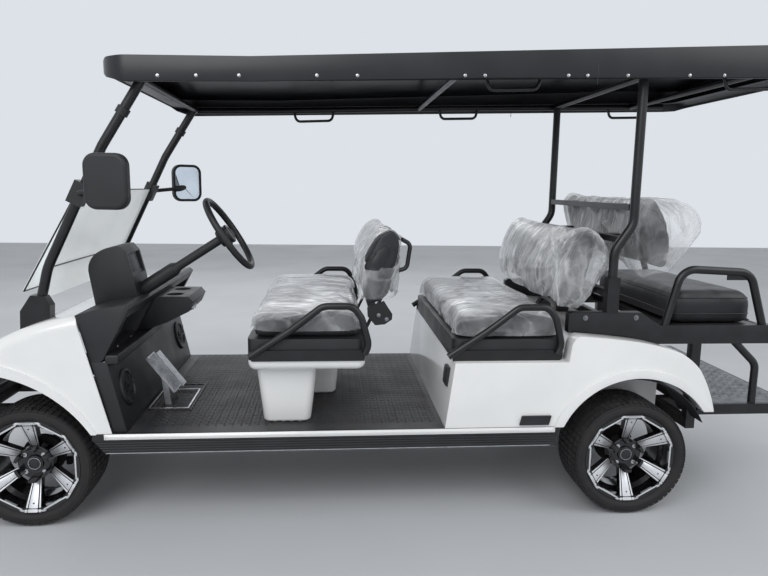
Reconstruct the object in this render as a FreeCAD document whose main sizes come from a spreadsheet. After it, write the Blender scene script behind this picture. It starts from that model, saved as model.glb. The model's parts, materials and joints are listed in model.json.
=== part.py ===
import FreeCAD, Part

import math
import os
import re

import Sketcher
from FreeCAD import Placement, Rotation, Vector

# A six-seat golf cart, in millimetres.
# X points forward, Y to the cart's left and Z up. The origin is on the ground, under the middle of the cart.

# Driving sizes: name, size, what it measures
SIZES = [
    ("wheelbase", 2440, "front axle to rear axle"),
    ("front_overhang", 480, "front axle to the face of the bumper"),
    ("rear_overhang", 770, "rear axle to the back edge of the footrest"),
    ("body_width", 1200, "across the outer skins"),
    ("floor_top", 389, "top of the floor mat above the ground"),
    ("floor_thickness", 12, "mat and floor tray together"),
    ("shell_wall", 5, "moulded body panels"),
    ("seat_gap", 0.3, "between a soft piece and its seat"),
    ("running_gap", 0.05, "radial play at a pin or spindle"),

    ("front_track", 960, "between the middles of the front tyres"),
    ("rear_track", 1020, "between the middles of the rear tyres"),
    ("tyre_radius", 245, "outside of the tread"),
    ("tyre_width", 220, "across the sidewalls"),
    ("tyre_wall", 12, "tread and sidewall"),
    ("rim_radius", 178, "bead seat of the wheel"),
    ("flange_height", 14, "rim flange above the bead seat"),
    ("rim_width", 190, "across both rim flanges"),
    ("rim_wall", 6, "barrel of the wheel"),
    ("well_depth", 13, "drop centre below the bead seat"),
    ("hub_radius", 68, "disc in the middle of the wheel"),
    ("hub_depth", 65, "face of that disc behind the rim's outer edge"),
    ("spindle_reach", 36, "end of a spindle outside the middle of its tyre"),
    ("cap_radius", 31, "centre cap"),
    ("cap_height", 26, "centre cap in front of the disc"),
    ("spoke_thickness", 26, "front to back of a spoke"),
    ("spoke_root", 30, "width of a spoke at the hub"),
    ("spoke_tip", 62, "width of a spoke at the rim"),
    ("lug_circle", 101.6, "pitch circle of the four wheel nuts"),
    ("lug_radius", 8, "hole for a wheel nut"),
    ("spindle_radius", 15, "axle end that carries a wheel"),
    ("drum_radius", 84, "brake drum"),
    ("drum_width", 22, "brake drum, along the axle"),

    ("rail_spacing", 400, "between the middles of the two chassis rails"),
    ("rail_width", 50, "chassis rail"),
    ("rail_height", 60, "chassis rail"),
    ("member_size", 40, "cross members, square tube"),
    ("axle_tube", 50, "front beam, height"),
    ("kingpin_inset", 85, "kingpin inside the middle of the tyre"),
    ("kingpin_radius", 10, "pin of the steering knuckle"),
    ("boss_height", 70, "kingpin boss at the end of the beam"),
    ("ear_thickness", 14, "ears of the knuckle's fork"),
    ("steer_arm", 80, "kingpin to the eye of the tie rod"),
    ("tie_rod_radius", 8, "tie rod"),
    ("rack_drop", 55, "tie rod below the wheel's centre"),
    ("leaf_thickness", 6, "one leaf of a rear spring"),
    ("leaf_length", 640, "longest leaf of a rear spring"),
    ("motor_radius", 88, "drive motor"),
    ("motor_length", 300, "drive motor"),
    ("battery_length", 380, "battery pack, along the cart"),
    ("battery_width", 700, "battery pack, across the cart"),
    ("battery_height", 190, "battery pack"),

    ("sill_height", 82, "rocker panel and trim strip"),
    ("sill_trim", 26, "white strip along the top of the rocker"),
    ("sill_edge", 5, "bright strip along the foot of the rocker"),
    ("sill_width", 12, "rocker panel, inwards"),
    ("bumper_depth", 55, "front bumper"),
    ("bumper_height", 96, "front bumper"),
    ("bumper_width", 940, "front bumper"),

    ("cowl_foot_back", 329, "cowl's rear edge at the floor, behind the front axle"),
    ("cowl_head_back", 210, "cowl's rear edge at the top, behind the front axle"),
    ("cowl_rise", 470, "top of the cowl above the floor"),
    ("bonnet_edge_ahead", 115, "crest of the bonnet, ahead of the front axle"),
    ("bonnet_edge_rise", 356, "crest of the bonnet above the floor"),
    ("nose_rise", 131, "top of the nose above the floor"),
    ("nose_corner", 190, "corner of the nose, seen from above"),
    ("nose_bow", 50, "how much the middle of the nose stands ahead of its corners"),
    ("cowl_round", 46, "rounding along the top edges of the cowl"),
    ("arch_lip", 10, "how far a wheel arch's lip stands out"),
    ("front_arch_back", 252, "foot of the front arch, behind the axle"),
    ("front_arch_ahead", 318, "front end of the arch, ahead of the axle"),
    ("front_arch_rise", 239, "top of the front arch above the floor"),
    ("lamp_radius", 54, "headlamp"),
    ("lamp_y", 430, "headlamp from the middle"),
    ("lamp_rise", 205, "headlamp above the floor"),

    ("dash_depth", 186, "dash top, front to back"),
    ("dash_face", 208, "dash face, top to bottom"),
    ("console_width", 300, "middle console of the dash"),
    ("console_depth", 165, "middle console behind the dash face"),
    ("pod_width", 190, "instrument pod"),
    ("pod_rise", 220, "instrument pod above the dash"),
    ("driver_y", 270, "steering wheel, from the middle of the cart"),
    ("steering_slope", 33, "steering column above the horizontal, in degrees"),
    ("steering_rim", 164, "radius of the steering wheel, to the middle of its rim"),
    ("steering_grip", 14, "radius of the rim's grip"),
    ("steering_back", 748, "steering wheel's centre behind the front axle"),
    ("steering_rise", 763, "steering wheel's centre above the floor"),
    ("column_radius", 19, "steering column tube"),
    ("shroud_radius", 30, "column shroud"),
    ("shroud_length", 190, "column shroud"),
    ("shaft_radius", 9, "steering shaft"),
    ("pedal_length", 190, "brake pedal plate"),
    ("pedal_width", 104, "brake pedal plate"),
    ("hatch_length", 170, "raised frame round the pedals"),
    ("hatch_width", 380, "raised frame round the pedals"),
    ("speaker_radius", 76, "speaker in the kick panel"),

    ("bench_depth", 470, "seat pan, front to back"),
    ("bench_width", 1140, "front seat pan"),
    ("bench_back", 1322, "rear edge of the front bench behind the front axle"),
    ("bench_rise", 239, "underside of the bench tray above the floor"),
    ("tray_height", 42, "rim of the bench tray"),
    ("pan_height", 88, "seat pan"),
    ("cushion_height", 104, "seat cushion above its pan"),
    ("cushion_inset", 12, "seat cushion inside its pan"),
    ("pedestal_top", 244, "pedestal, front to back at the tray"),
    ("pedestal_foot", 194, "pedestal, front to back at the floor"),
    ("pedestal_width", 170, "pedestal, across"),
    ("centre_box_width", 260, "box between the pedestals"),
    ("backrest_width", 1000, "front and second backrest"),
    ("backrest_rise", 313, "height of a backrest"),
    ("backrest_gap", 18, "cushion top to the foot of the backrest"),
    ("end_plate", 8, "plate at each end of the front backrest"),
    ("armrest_radius", 14, "armrest tube"),
    ("armrest_bend", 60, "bends of an armrest"),
    ("armrest_rise", 224, "armrest tube above the pan's foot"),
    ("loop_radius", 9, "grab loops behind the front backrest"),

    ("body_front_ahead", 792, "foot of the rear body's face, ahead of the rear axle"),
    ("body_lean", 35, "how far the rear body's face leans back"),
    ("deck_rise", 273, "deck under the second bench above the floor"),
    ("fender_front_ahead", 285, "front of the fender's hump, ahead of the rear axle"),
    ("fender_rise", 381, "top of the rear fender above the floor"),
    ("fender_width", 78, "rear fender's hump, inwards"),
    ("fender_tail", 354, "tail of the rear fender behind the axle"),
    ("rear_arch_radius", 348, "rear wheel arch"),
    ("rear_arch_back", 20, "centre of the rear arch behind the axle"),
    ("arch_band", 36, "width of the lip round a rear arch"),
    ("well_width", 230, "wheel well inside the rear fender"),

    ("strut_inset", 121, "front struts inside the outer skin"),
    ("rear_strut_inset", 100, "rear struts inside the outer skin"),
    ("strut_radius", 19, "roof struts"),
    ("strut_bend", 240, "gentle bends of the front struts"),
    ("roof_front_back", 335, "front edge of the roof behind the front axle"),
    ("roof_rear_back", 740, "rear edge of the roof behind the rear axle"),
    ("roof_low", 1724, "lowest line of the roof's edge, at the front"),
    ("roof_climb", 77, "how much the roof's edge climbs to the rear"),
    ("roof_edge", 92, "depth of the roof's edge"),
    ("roof_edge_rear", 123, "depth of the roof's edge over the rear seat"),
    ("roof_tip", 30, "depth of the roof's front edge"),
    ("roof_tail", 62, "depth of the roof's rear edge"),
    ("roof_skirt", 36, "how far the edge hangs below the flange"),
    ("cross_tube_radius", 13, "cross tubes under the roof"),
    ("roof_crown", 24, "how much the roof's middle stands above its edges"),
    ("roof_corner", 120, "corner of the roof, seen from above"),
    ("roof_rail_inset", 55, "side tubes under the roof, inside its edge"),
    ("roof_rail_radius", 15, "side tubes under the roof"),
    ("roof_flange", 95, "flange that rests on the side tubes"),
    ("handle_length", 220, "grab handle under the roof"),
    ("handle_drop", 56, "grab handle under the roof"),
    ("handle_radius", 7, "grab handle"),
    ("glazing", 5, "windscreen sheet"),
    ("mirror_width", 162, "mirror housing"),
    ("mirror_height", 203, "mirror housing"),
    ("mirror_depth", 36, "mirror housing"),
    ("mirror_turn_left", 82, "left mirror turned in from facing the rear, in degrees"),
    ("mirror_turn_right", 55, "right mirror turned in from facing the rear, in degrees"),
    ("mirror_out", 55, "mirrors outside the outer skin"),

    ("rear_back_width", 900, "rear backrest"),
    ("flip_front_back", 230, "front edge of the rear seat behind the rear axle"),
    ("flip_length", 394, "rear seat, front to back"),
    ("flip_width", 850, "rear seat, across"),
    ("flip_height", 140, "rear cushion above its plate"),
    ("flip_plate", 12, "hinged plate under the rear cushion"),
    ("beam_inset", 105, "side beams of the rear seat frame, inside the outer skin"),
    ("beam_width", 40, "side beams of the rear seat frame"),
    ("beam_height", 80, "side beams of the rear seat frame"),
    ("beam_rise", 54, "side beams above the deck of the rear body"),
    ("beam_head", 57, "raised front part of the side beams"),
    ("beam_front_ahead", 267, "front end of the side beams ahead of the rear axle"),
    ("beam_length", 917, "side beams"),
    ("grab_radius", 17, "side grab bars"),
    ("grab_rise", 240, "side grab bars above the beams"),
    ("stay_radius", 16, "tubes between the rear seat and the footrest"),
    ("footrest_front_back", 330, "front edge of the footrest behind the rear axle"),
    ("footrest_rise", 11, "underside of the footrest above the floor"),
    ("footrest_frame", 46, "footrest frame"),
    ("footrest_gap", 4, "between the footrest and the fender's hump"),
    ("tread_plate", 4, "tread plate of the footrest"),
]

# Places worked out from the driving sizes: name, formula, what it is
PLACES = [
    ("half_length", "(front_overhang + wheelbase + rear_overhang) / 2", "half the overall length"),
    ("front_axle_x", "half_length - front_overhang", "front axle"),
    ("rear_axle_x", "front_axle_x - wheelbase", "rear axle"),
    ("side_y", "body_width / 2", "outer skin"),
    ("frame_top", "floor_top - floor_thickness", "top of the chassis rails"),
    ("frame_bottom", "frame_top - rail_height", "underside of the chassis rails"),
    ("rail_y", "rail_spacing / 2", "middle of a chassis rail"),
    ("roof_rail_y", "side_y - roof_rail_inset", "side tubes under the roof"),
    ("strut_y", "side_y - strut_inset", "front struts"),
    ("rear_strut_y", "side_y - rear_strut_inset", "rear struts"),
    ("beam_y", "side_y - beam_inset", "side beams of the rear seat frame"),
    ("mirror_y", "side_y + mirror_out", "middle of the mirrors"),
    ("footrest_half", "side_y - fender_width - footrest_gap", "side of the footrest"),
    ("front_wheel_y", "front_track / 2", "middle of a front tyre"),
    ("rear_wheel_y", "rear_track / 2", "middle of a rear tyre"),
    ("kingpin_y", "front_wheel_y - kingpin_inset", "kingpin axis"),
    ("nose_x", "half_length - bumper_depth", "front of the cowl"),
    ("cowl_foot_x", "front_axle_x - cowl_foot_back", "rear edge of the cowl at the floor"),
    ("cowl_head_x", "front_axle_x - cowl_head_back", "rear edge of the cowl at the top"),
    ("cowl_head_z", "floor_top + cowl_rise", "top of the cowl"),
    ("dash_top_z", "cowl_head_z + 24", "top of the dash"),
    ("kick_foot_x", "cowl_foot_x - 55", "foot of the kick panel"),
    ("kick_head_x", "cowl_head_x - 109", "head of the kick panel"),
    ("kick_head_z", "dash_top_z - dash_face", "head of the kick panel"),
    ("wheel_x", "front_axle_x - steering_back", "steering wheel's centre"),
    ("wheel_z", "floor_top + steering_rise", "steering wheel's centre"),
    ("bench_x", "front_axle_x - bench_back", "rear edge of the front bench"),
    ("tray_z", "floor_top + bench_rise", "underside of the bench tray"),
    ("pan_z", "tray_z + tray_height", "underside of the front seat pan"),
    ("seat_z", "pan_z + pan_height", "top of the front seat pan"),
    ("body_front_x", "rear_axle_x + body_front_ahead", "foot of the rear body's face"),
    ("deck_z", "floor_top + deck_rise", "deck under the second bench"),
    ("second_x", "rear_axle_x + fender_front_ahead + 5", "rear edge of the second bench"),
    ("second_seat_z", "deck_z + pan_height", "top of the second seat pan"),
    ("hump_x", "rear_axle_x + fender_front_ahead", "front of the fender's hump"),
    ("tail_x", "rear_axle_x - fender_tail", "tail of the rear fender"),
    ("fender_z", "floor_top + fender_rise", "top of the rear fender"),
    ("arch_x", "rear_axle_x - rear_arch_back", "centre of the rear arch"),
    ("beam_z", "deck_z + beam_rise", "underside of the side beams"),
    ("beam_top_z", "beam_z + beam_height", "top of the side beams"),
    ("beam_front_x", "rear_axle_x + beam_front_ahead", "front end of the side beams"),
    ("beam_head_z", "beam_top_z + beam_head", "top of their raised front part"),
    ("beam_rear_x", "beam_front_x - beam_length", "rear end of the side beams"),
    ("flip_front_x", "rear_axle_x - flip_front_back", "front edge of the rear seat"),
    ("flip_rear_x", "flip_front_x - flip_length", "rear edge of the rear seat"),
    ("footrest_x", "rear_axle_x - footrest_front_back", "front edge of the footrest"),
    ("footrest_z", "floor_top + footrest_rise", "underside of the footrest"),
    ("front_back_z", "seat_z + cushion_height + backrest_gap", "foot of the front backrest"),
    ("second_back_z", "second_seat_z + cushion_height + backrest_gap + 21", "foot of the second backrest"),
    ("rear_back_x", "rear_axle_x - 187", "line that the rear backrest is drawn from"),
    ("rear_back_z", "deck_z + 365", "foot of the rear backrest"),
    ("rear_post_x", "rear_axle_x + 83", "lower part of the rear struts"),
    ("rear_head_x", "rear_axle_x + 10", "upper part of the rear struts"),
    ("roof_front_x", "front_axle_x - roof_front_back", "front edge of the roof"),
    ("roof_rear_x", "rear_axle_x - roof_rear_back", "rear edge of the roof"),
    ("strut_foot_x", "cowl_head_x + 177", "foot of a front strut"),
    ("strut_foot_z", "cowl_head_z - 10", "foot of a front strut"),
    ("strut_reach", "strut_foot_x - roof_front_x + 130", "how far a front strut leans back"),
    ("strut_climb", "roof_low + roof_skirt - 12 - strut_foot_z", "height of a front strut"),
    ("mirror_z", "floor_top + 976", "middle of the mirrors"),
    ("roof_tube_rear_z", "roof_low + roof_climb * 0.85 + roof_skirt - roof_rail_radius", "over the rear struts"),
]

doc = FreeCAD.newDocument("golf_cart")
sizes = doc.addObject("Spreadsheet::Sheet", "sizes")
places = doc.addObject("Spreadsheet::Sheet", "places")
SHEET_OF = {}


def fill_sheets():
    """Write the driving sizes as plain numbers and the places as formulas."""
    for row, (name, size, meaning) in enumerate(SIZES, start=1):
        sizes.set(f"A{row}", meaning)
        sizes.set(f"B{row}", str(size))
        sizes.setAlias(f"B{row}", name)
        SHEET_OF[name] = "sizes"
    for row, (name, text, meaning) in enumerate(PLACES, start=1):
        places.set(f"A{row}", meaning)
        places.setAlias(f"B{row}", name)
        SHEET_OF[name] = "places"
        places.set(f"B{row}", "=" + formula(text))
    doc.recompute()


def formula(text):
    """Put the sheet's name before each size in a plain formula."""

    def with_sheet(found):
        word = found.group(0)
        return f"{SHEET_OF[word]}.{word}" if word in SHEET_OF else word

    return re.sub(r"[a-z][a-z_]+", with_sheet, str(text))


def number(text):
    """The value of a formula, for what a sketch or a bent tube starts from."""
    return float(places.evalExpression(formula(text)))


def bind(piece, settings):
    """Tie each property to its formula."""
    for name, text in settings.items():
        piece.setExpression(name, formula(text))


def place(piece, x, y, z):
    bind(piece, {".Placement.Base.x": x, ".Placement.Base.y": y, ".Placement.Base.z": z})


# Primitives and booleans

TURNS = {
    "X": Rotation(Vector(0, 1, 0), 90),
    "Y": Rotation(Vector(1, 0, 0), -90),
    "Z": Rotation(),
}


def box(name, length, width, height, x, y, z):
    """A box from its low corner."""
    piece = doc.addObject("Part::Box", name)
    bind(piece, {"Length": length, "Width": width, "Height": height})
    place(piece, x, y, z)
    return piece


def cylinder(name, radius, height, x, y, z, along="Z"):
    """A round bar from the middle of its first end."""
    piece = doc.addObject("Part::Cylinder", name)
    bind(piece, {"Radius": radius, "Height": height})
    piece.Placement = Placement(Vector(), TURNS[along])
    place(piece, x, y, z)
    return piece


def fuse(name, *pieces):
    result = doc.addObject("Part::MultiFuse", name)
    result.Shapes = list(pieces)
    return result


def cut(name, base, *tools):
    result = doc.addObject("Part::Cut", name)
    result.Base = base
    result.Tool = tools[0] if len(tools) == 1 else fuse(name + "_tools", *tools)
    return result


def common(name, *pieces):
    result = doc.addObject("Part::MultiCommon", name)
    result.Shapes = list(pieces)
    return result


def group(name, *pieces):
    """Separate pieces of one sub-part."""
    result = doc.addObject("Part::Compound", name)
    result.Links = list(pieces)
    return result


def mirrored(piece):
    """The same piece on the cart's right."""
    result = doc.addObject("Part::Mirroring", piece.Name + "_right")
    result.Source = piece
    result.Normal = Vector(0, 1, 0)
    return result


# Sketches and bodies

PLANES = {"XY": Rotation(), "XZ": Rotation(Vector(1, 0, 0), 90), "YZ": Rotation(Vector(1, 1, 1), 120)}


def arc_through(start, end, radius):
    """The arc from start to end; it turns left for a positive radius and right for a negative one."""
    chord = end - start
    reach = max(abs(radius), chord.Length * 0.5001)
    left = Vector(-chord.y, chord.x, 0).normalize()
    side = 1 if radius > 0 else -1
    centre = (start + end) * 0.5 + left * (side * math.sqrt(reach**2 - (chord.Length / 2) ** 2))
    middle = centre - left * (side * reach)
    return Part.Arc(start, middle, end)


def sketch(owner, name, plane, outline, offset="0"):
    """A closed outline of corners (across, up) or, where an arc leaves the corner, (across, up, radius)."""
    if owner is None:
        result = doc.addObject("Sketcher::SketchObject", name)
        result.Placement = Placement(Vector(), PLANES[plane])
        axis = {"XY": "z", "XZ": "y", "YZ": "x"}[plane]
        bind(result, {".Placement.Base." + axis: offset})
    else:
        result = owner.newObject("Sketcher::SketchObject", name)
        origin_plane = next(part for part in owner.Origin.OriginFeatures if part.Role == plane + "_Plane")
        result.AttachmentSupport = [(origin_plane, "")]
        result.MapMode = "FlatFace"
        sign = "-" if plane == "XZ" else ""
        bind(result, {".AttachmentOffset.Base.z": f"{sign}({offset})"})
    points = [Vector(number(corner[0]), number(corner[1]), 0) for corner in outline]
    ends = []
    for index, corner in enumerate(outline):
        start = points[index]
        end = points[(index + 1) % len(points)]
        if len(corner) == 3:
            edge = arc_through(start, end, number(corner[2]))
            result.addGeometry(edge, False)
            ends.append((1, 2) if number(corner[2]) > 0 else (2, 1))
        else:
            result.addGeometry(Part.LineSegment(start, end), False)
            ends.append((1, 2))
    rules = []
    bound = {}
    for index, corner in enumerate(outline):
        after = (index + 1) % len(outline)
        rules.append(Sketcher.Constraint("Coincident", index, ends[index][1], after, ends[after][0]))
    for index, corner in enumerate(outline):
        for kind, text, value in (
            ("DistanceX", corner[0], points[index].x),
            ("DistanceY", corner[1], points[index].y),
        ):
            bound[len(rules)] = text
            rules.append(Sketcher.Constraint(kind, -1, 1, index, ends[index][0], value))
        if len(corner) == 3:
            bound[len(rules)] = f"abs({corner[2]})"
            rules.append(Sketcher.Constraint("Radius", index, abs(number(corner[2]))))
    result.addConstraint(rules)
    bind(result, {f"Constraints[{index}]": text for index, text in bound.items()})
    return result


def new_body(name):
    return doc.addObject("PartDesign::Body", name)


def pad(body, name, plane, outline, thickness, middle="0"):
    """Pad an outline by half its thickness each way from the middle."""
    feature = body.newObject("PartDesign::Pad", name)
    feature.Profile = sketch(body, name + "_outline", plane, outline, middle)
    feature.SideType = "Symmetric"
    bind(feature, {"Length": thickness})
    return feature


def plate(name, plane, outline, thickness, middle="0"):
    body = new_body(name)
    pad(body, name + "_pad", plane, outline, thickness, middle)
    return body


def turned(name, outline):
    """A body turned about its own Z axis from an outline of (radius, height)."""
    body = new_body(name)
    profile = sketch(body, name + "_outline", "XZ", outline)
    feature = body.newObject("PartDesign::Revolution", name + "_turn")
    feature.Profile = profile
    feature.ReferenceAxis = (profile, ["V_Axis"])
    feature.Angle = 360
    return body


def round_edges(body, radius, pick):
    """Round those edges of a body that pick chooses."""
    doc.recompute()
    tip = body.Tip
    names = [f"Edge{index}" for index, edge in enumerate(tip.Shape.Edges, start=1) if pick(edge)]
    feature = body.newObject("PartDesign::Fillet", body.Name + "_round")
    feature.Base = (tip, names)
    bind(feature, {"Radius": radius})
    body.Tip = feature
    return feature


def rectangle(low_x, low_y, high_x, high_y):
    return [(low_x, low_y), (high_x, low_y), (high_x, high_y), (low_x, high_y)]


def dome(radius, height):
    """Radius of the arc that closes a turned end this wide with a rise of this height."""
    return f"(({radius})^2 + {height}^2) / (2 * {height})"


def upright(edge):
    """Whether an edge runs along Z."""
    ends = edge.Vertexes
    return len(ends) == 2 and (ends[0].Point - ends[1].Point).cross(Vector(0, 0, 1)).Length < 0.01


# Bent tubes

def tube_shape(route, radius, bend):
    """A round bar along straight runs joined by tangent arcs."""
    points = [Vector(*(number(text) for text in point)) for point in route]
    thickness = number(radius)
    wanted = number(bend)
    edges = []
    start = points[0]
    for before, corner, after in zip(points, points[1:], points[2:]):
        back = (before - corner).normalize()
        ahead = (after - corner).normalize()
        half_turn = (math.pi - back.getAngle(ahead)) / 2
        room = 0.48 * min((before - corner).Length, (after - corner).Length)
        reach = min(wanted * math.tan(half_turn), room)
        inner = reach / math.tan(half_turn)
        bisector = (back + ahead).normalize()
        centre = corner + bisector * math.hypot(inner, reach)
        middle = centre - bisector * inner
        enter = corner + back * reach
        leave = corner + ahead * reach
        edges.append(Part.LineSegment(start, enter).toShape())
        edges.append(Part.Arc(enter, middle, leave).toShape())
        start = leave
    edges.append(Part.LineSegment(start, points[-1]).toShape())
    path = Part.Wire(edges)
    direction = (points[1] - points[0]).normalize()
    ring = Part.Wire(Part.Circle(points[0], direction, thickness).toShape())
    return path.makePipeShell([ring], True, False)


def tube(name, route, radius, bend):
    piece = doc.addObject("Part::Feature", name)
    piece.Shape = tube_shape(route, radius, bend)
    return piece


NODES = {}


def node(name, piece):
    """Make a piece the sub-part of this name."""
    piece.Label = name
    NODES[name] = piece
    return piece


fill_sheets()


# Wheels. Each is drawn about its own Z axis, with its outer face up, and is then laid on its axle.

OUTWARD = {"left": Rotation(Vector(1, 0, 0), -90), "right": Rotation(Vector(1, 0, 0), 90)}


def lay_on_axle(body, side, axle_x, wheel_y):
    body.Placement = Placement(Vector(), OUTWARD[side])
    place(body, axle_x, wheel_y if side == "left" else f"-{wheel_y}", "tyre_radius")


def make_tyre(name):
    """A low tyre: round shoulders, a thin wall and an open inside."""
    bead = "rim_radius + seat_gap"
    half_bead = "rim_width / 2 - rim_wall - seat_gap"
    half = "tyre_width / 2"
    crown = "tyre_width / 2 - 24"
    over_flange = "rim_radius + flange_height + 4"
    return turned(name, [
        (bead, f"-({half_bead})"),
        (over_flange, f"-({half_bead})"),
        ("tyre_radius - 30", f"-({half})", "34"),
        ("tyre_radius", f"-({crown})"),
        ("tyre_radius", crown, "34"),
        ("tyre_radius - 30", half),
        (over_flange, half_bead),
        (bead, half_bead),
        (bead, f"{half_bead} - tyre_wall"),
        ("rim_radius + tyre_wall", f"{half_bead} - tyre_wall"),
        ("tyre_radius - 30", f"{half} - tyre_wall"),
        ("tyre_radius - tyre_wall", f"{crown} - 4"),
        ("tyre_radius - tyre_wall", f"-({crown} - 4)"),
        ("tyre_radius - 30", f"-({half} - tyre_wall)"),
        ("rim_radius + tyre_wall", f"-({half_bead} - tyre_wall)"),
        (bead, f"-({half_bead} - tyre_wall)"),
    ])


def make_rim(name):
    """A cast wheel: a hub with its cap, six spokes that widen outwards, and a barrel with a drop centre."""
    half = "rim_width / 2"
    bore = "spindle_radius + running_gap"
    disc = f"{half} - hub_depth"
    bore_end = "spindle_reach + 4"
    body = turned(name, [
        (bore, "-20"),
        ("hub_radius * 0.66", "-20"),
        ("hub_radius * 0.66", f"{disc} - spoke_thickness - 8"),
        ("hub_radius", f"{disc} - spoke_thickness - 8"),
        ("hub_radius", disc),
        ("cap_radius", disc),
        ("cap_radius", f"{disc} + cap_height - 4", dome("cap_radius", 4)),
        ("0", f"{disc} + cap_height"),
        ("0", bore_end),
        (bore, bore_end),
    ])
    tip_z = f"{half} - 8"
    root_z = f"{disc} + 4"
    spoke = pad(body, name + "_spoke", "XY", [
        ("-spoke_root / 2", "hub_radius - 12"),
        ("spoke_root / 2", "hub_radius - 12"),
        ("spoke_tip / 2", "rim_radius - rim_wall / 2"),
        ("-spoke_tip / 2", "rim_radius - rim_wall / 2"),
    ], "hub_depth + spoke_thickness", f"{tip_z} - (hub_depth + spoke_thickness) / 2")
    spokes = body.newObject("PartDesign::PolarPattern", name + "_spokes")
    spokes.Originals = [spoke]
    spokes.Axis = (next(part for part in body.Origin.OriginFeatures if part.Role == "Z_Axis"), [""])
    spokes.Angle = 360
    spokes.Occurrences = 6
    body.Tip = spokes
    for side, start, end in (("front", "0", "60"), ("back", "-spoke_thickness", "-spoke_thickness - 80")):
        dish = sketch(body, f"{name}_{side}_dish", "XZ", [
            ("hub_radius + 0.5", f"{root_z} + {start}"),
            ("rim_radius - rim_wall", f"{tip_z} + {start}"),
            ("rim_radius - rim_wall", f"{tip_z} + {end}"),
            ("hub_radius + 0.5", f"{root_z} + {end}"),
        ] if side == "front" else [
            ("hub_radius + 0.5", f"{root_z} + {end}"),
            ("rim_radius - rim_wall", f"{tip_z} + {end}"),
            ("rim_radius - rim_wall", f"{tip_z} + {start}"),
            ("hub_radius + 0.5", f"{root_z} + {start}"),
        ])
        groove = body.newObject("PartDesign::Groove", f"{name}_{side}_slope")
        groove.Profile = dish
        groove.ReferenceAxis = (dish, ["V_Axis"])
        groove.Angle = 360
        body.Tip = groove
    inside = "rim_radius - rim_wall"
    well = "rim_radius - well_depth"
    profile = sketch(body, name + "_barrel_outline", "XZ", [
        (inside, f"-({half})"),
        ("rim_radius + flange_height", f"-({half})"),
        ("rim_radius + flange_height", f"-({half} - rim_wall)"),
        ("rim_radius", f"-({half} - rim_wall)"),
        ("rim_radius", f"-({half} - 35)"),
        (well, f"-({half} - 50)"),
        (well, f"{half} - 76"),
        ("rim_radius", f"{half} - 60"),
        ("rim_radius", f"{half} - rim_wall"),
        ("rim_radius + flange_height", f"{half} - rim_wall"),
        ("rim_radius + flange_height", half),
        (inside, half),
        (inside, f"{half} - 60"),
        (f"{well} - rim_wall", f"{half} - 76"),
        (f"{well} - rim_wall", f"-({half} - 50)"),
        (inside, f"-({half} - 35)"),
    ])
    barrel = body.newObject("PartDesign::Revolution", name + "_barrel")
    barrel.Profile = profile
    barrel.ReferenceAxis = (profile, ["V_Axis"])
    barrel.Angle = 360
    body.Tip = barrel
    return body


WHEELS = [
    ("front_left", "left", "front_axle_x", "front_wheel_y"),
    ("front_right", "right", "front_axle_x", "front_wheel_y"),
    ("rear_left", "left", "rear_axle_x", "rear_wheel_y"),
    ("rear_right", "right", "rear_axle_x", "rear_wheel_y"),
]
for corner, side, axle_x, wheel_y in WHEELS:
    for kind, make in (("tyre", make_tyre), ("rim", make_rim)):
        label = f"{kind}_{corner}"
        wheel_piece = make(label)
        lay_on_axle(wheel_piece, side, axle_x, wheel_y)
        node(label, wheel_piece)


# Chassis

def make_chassis():
    """Two rails, the cross members that carry floor and body, and the pads over the front beam."""
    rail_front = "nose_x - 10"
    rail_rear = "-half_length + 150"
    rail = box("rail", f"{rail_front} - ({rail_rear})", "rail_width", "rail_height",
               rail_rear, "rail_y - rail_width / 2", "frame_bottom")
    members = [
        ("nose_member", "nose_x - 60", "rail_y + 60"),
        ("dash_member", "cowl_foot_x - 80", "side_y - sill_width"),
        ("floor_member", "(cowl_foot_x + body_front_x) / 2", "side_y - sill_width"),
        ("body_member", "body_front_x - 60", "side_y - sill_width"),
        ("battery_member", "body_front_x - 100 - battery_length", "side_y - shell_wall * 3"),
        ("tail_member", "footrest_x + 5", "beam_y + beam_width / 2"),
    ]
    bars = [
        box(name, "member_size", f"2 * ({reach})", "member_size", x, f"-({reach})", "frame_top - member_size")
        for name, x, reach in members
    ]
    saddle = box("beam_saddle", "axle_tube + 20", "rail_width", "frame_bottom - tyre_radius - axle_tube / 2",
                 "front_axle_x - axle_tube / 2 - 10", "rail_y - rail_width / 2", "tyre_radius + axle_tube / 2")
    return fuse("chassis_frame", rail, mirrored(rail), saddle, mirrored(saddle), *bars)


def make_front_axle():
    """The front beam with a kingpin boss at each end, and the steering rack's housing behind it."""
    low = "tyre_radius - axle_tube / 2"
    beam = box("beam", "axle_tube", "2 * (kingpin_y - 14)", "axle_tube",
               "front_axle_x - axle_tube / 2", "-(kingpin_y - 14)", low)
    boss = cylinder("boss", "kingpin_radius + 12", "boss_height",
                    "front_axle_x", "kingpin_y", "tyre_radius - boss_height / 2")
    pin_hole = cylinder("pin_hole", "kingpin_radius + running_gap", "boss_height * 2",
                        "front_axle_x", "kingpin_y", "tyre_radius - boss_height")
    rack_x = "front_axle_x - steer_arm"
    rack_z = "tyre_radius - rack_drop"
    housing = cylinder("rack_housing", "tie_rod_radius + 12", "300", rack_x, "-150", rack_z, "Y")
    rod_hole = cylinder("rod_hole", "tie_rod_radius + running_gap", "400", rack_x, "-200", rack_z, "Y")
    bracket = box("rack_bracket", "steer_arm", "120", "40", rack_x, "-60", "tyre_radius - rack_drop + 4")
    solid = fuse("front_beam", beam, boss, mirrored(boss), housing, bracket)
    return cut("front_axle", solid, pin_hole, mirrored(pin_hole), rod_hole)


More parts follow.
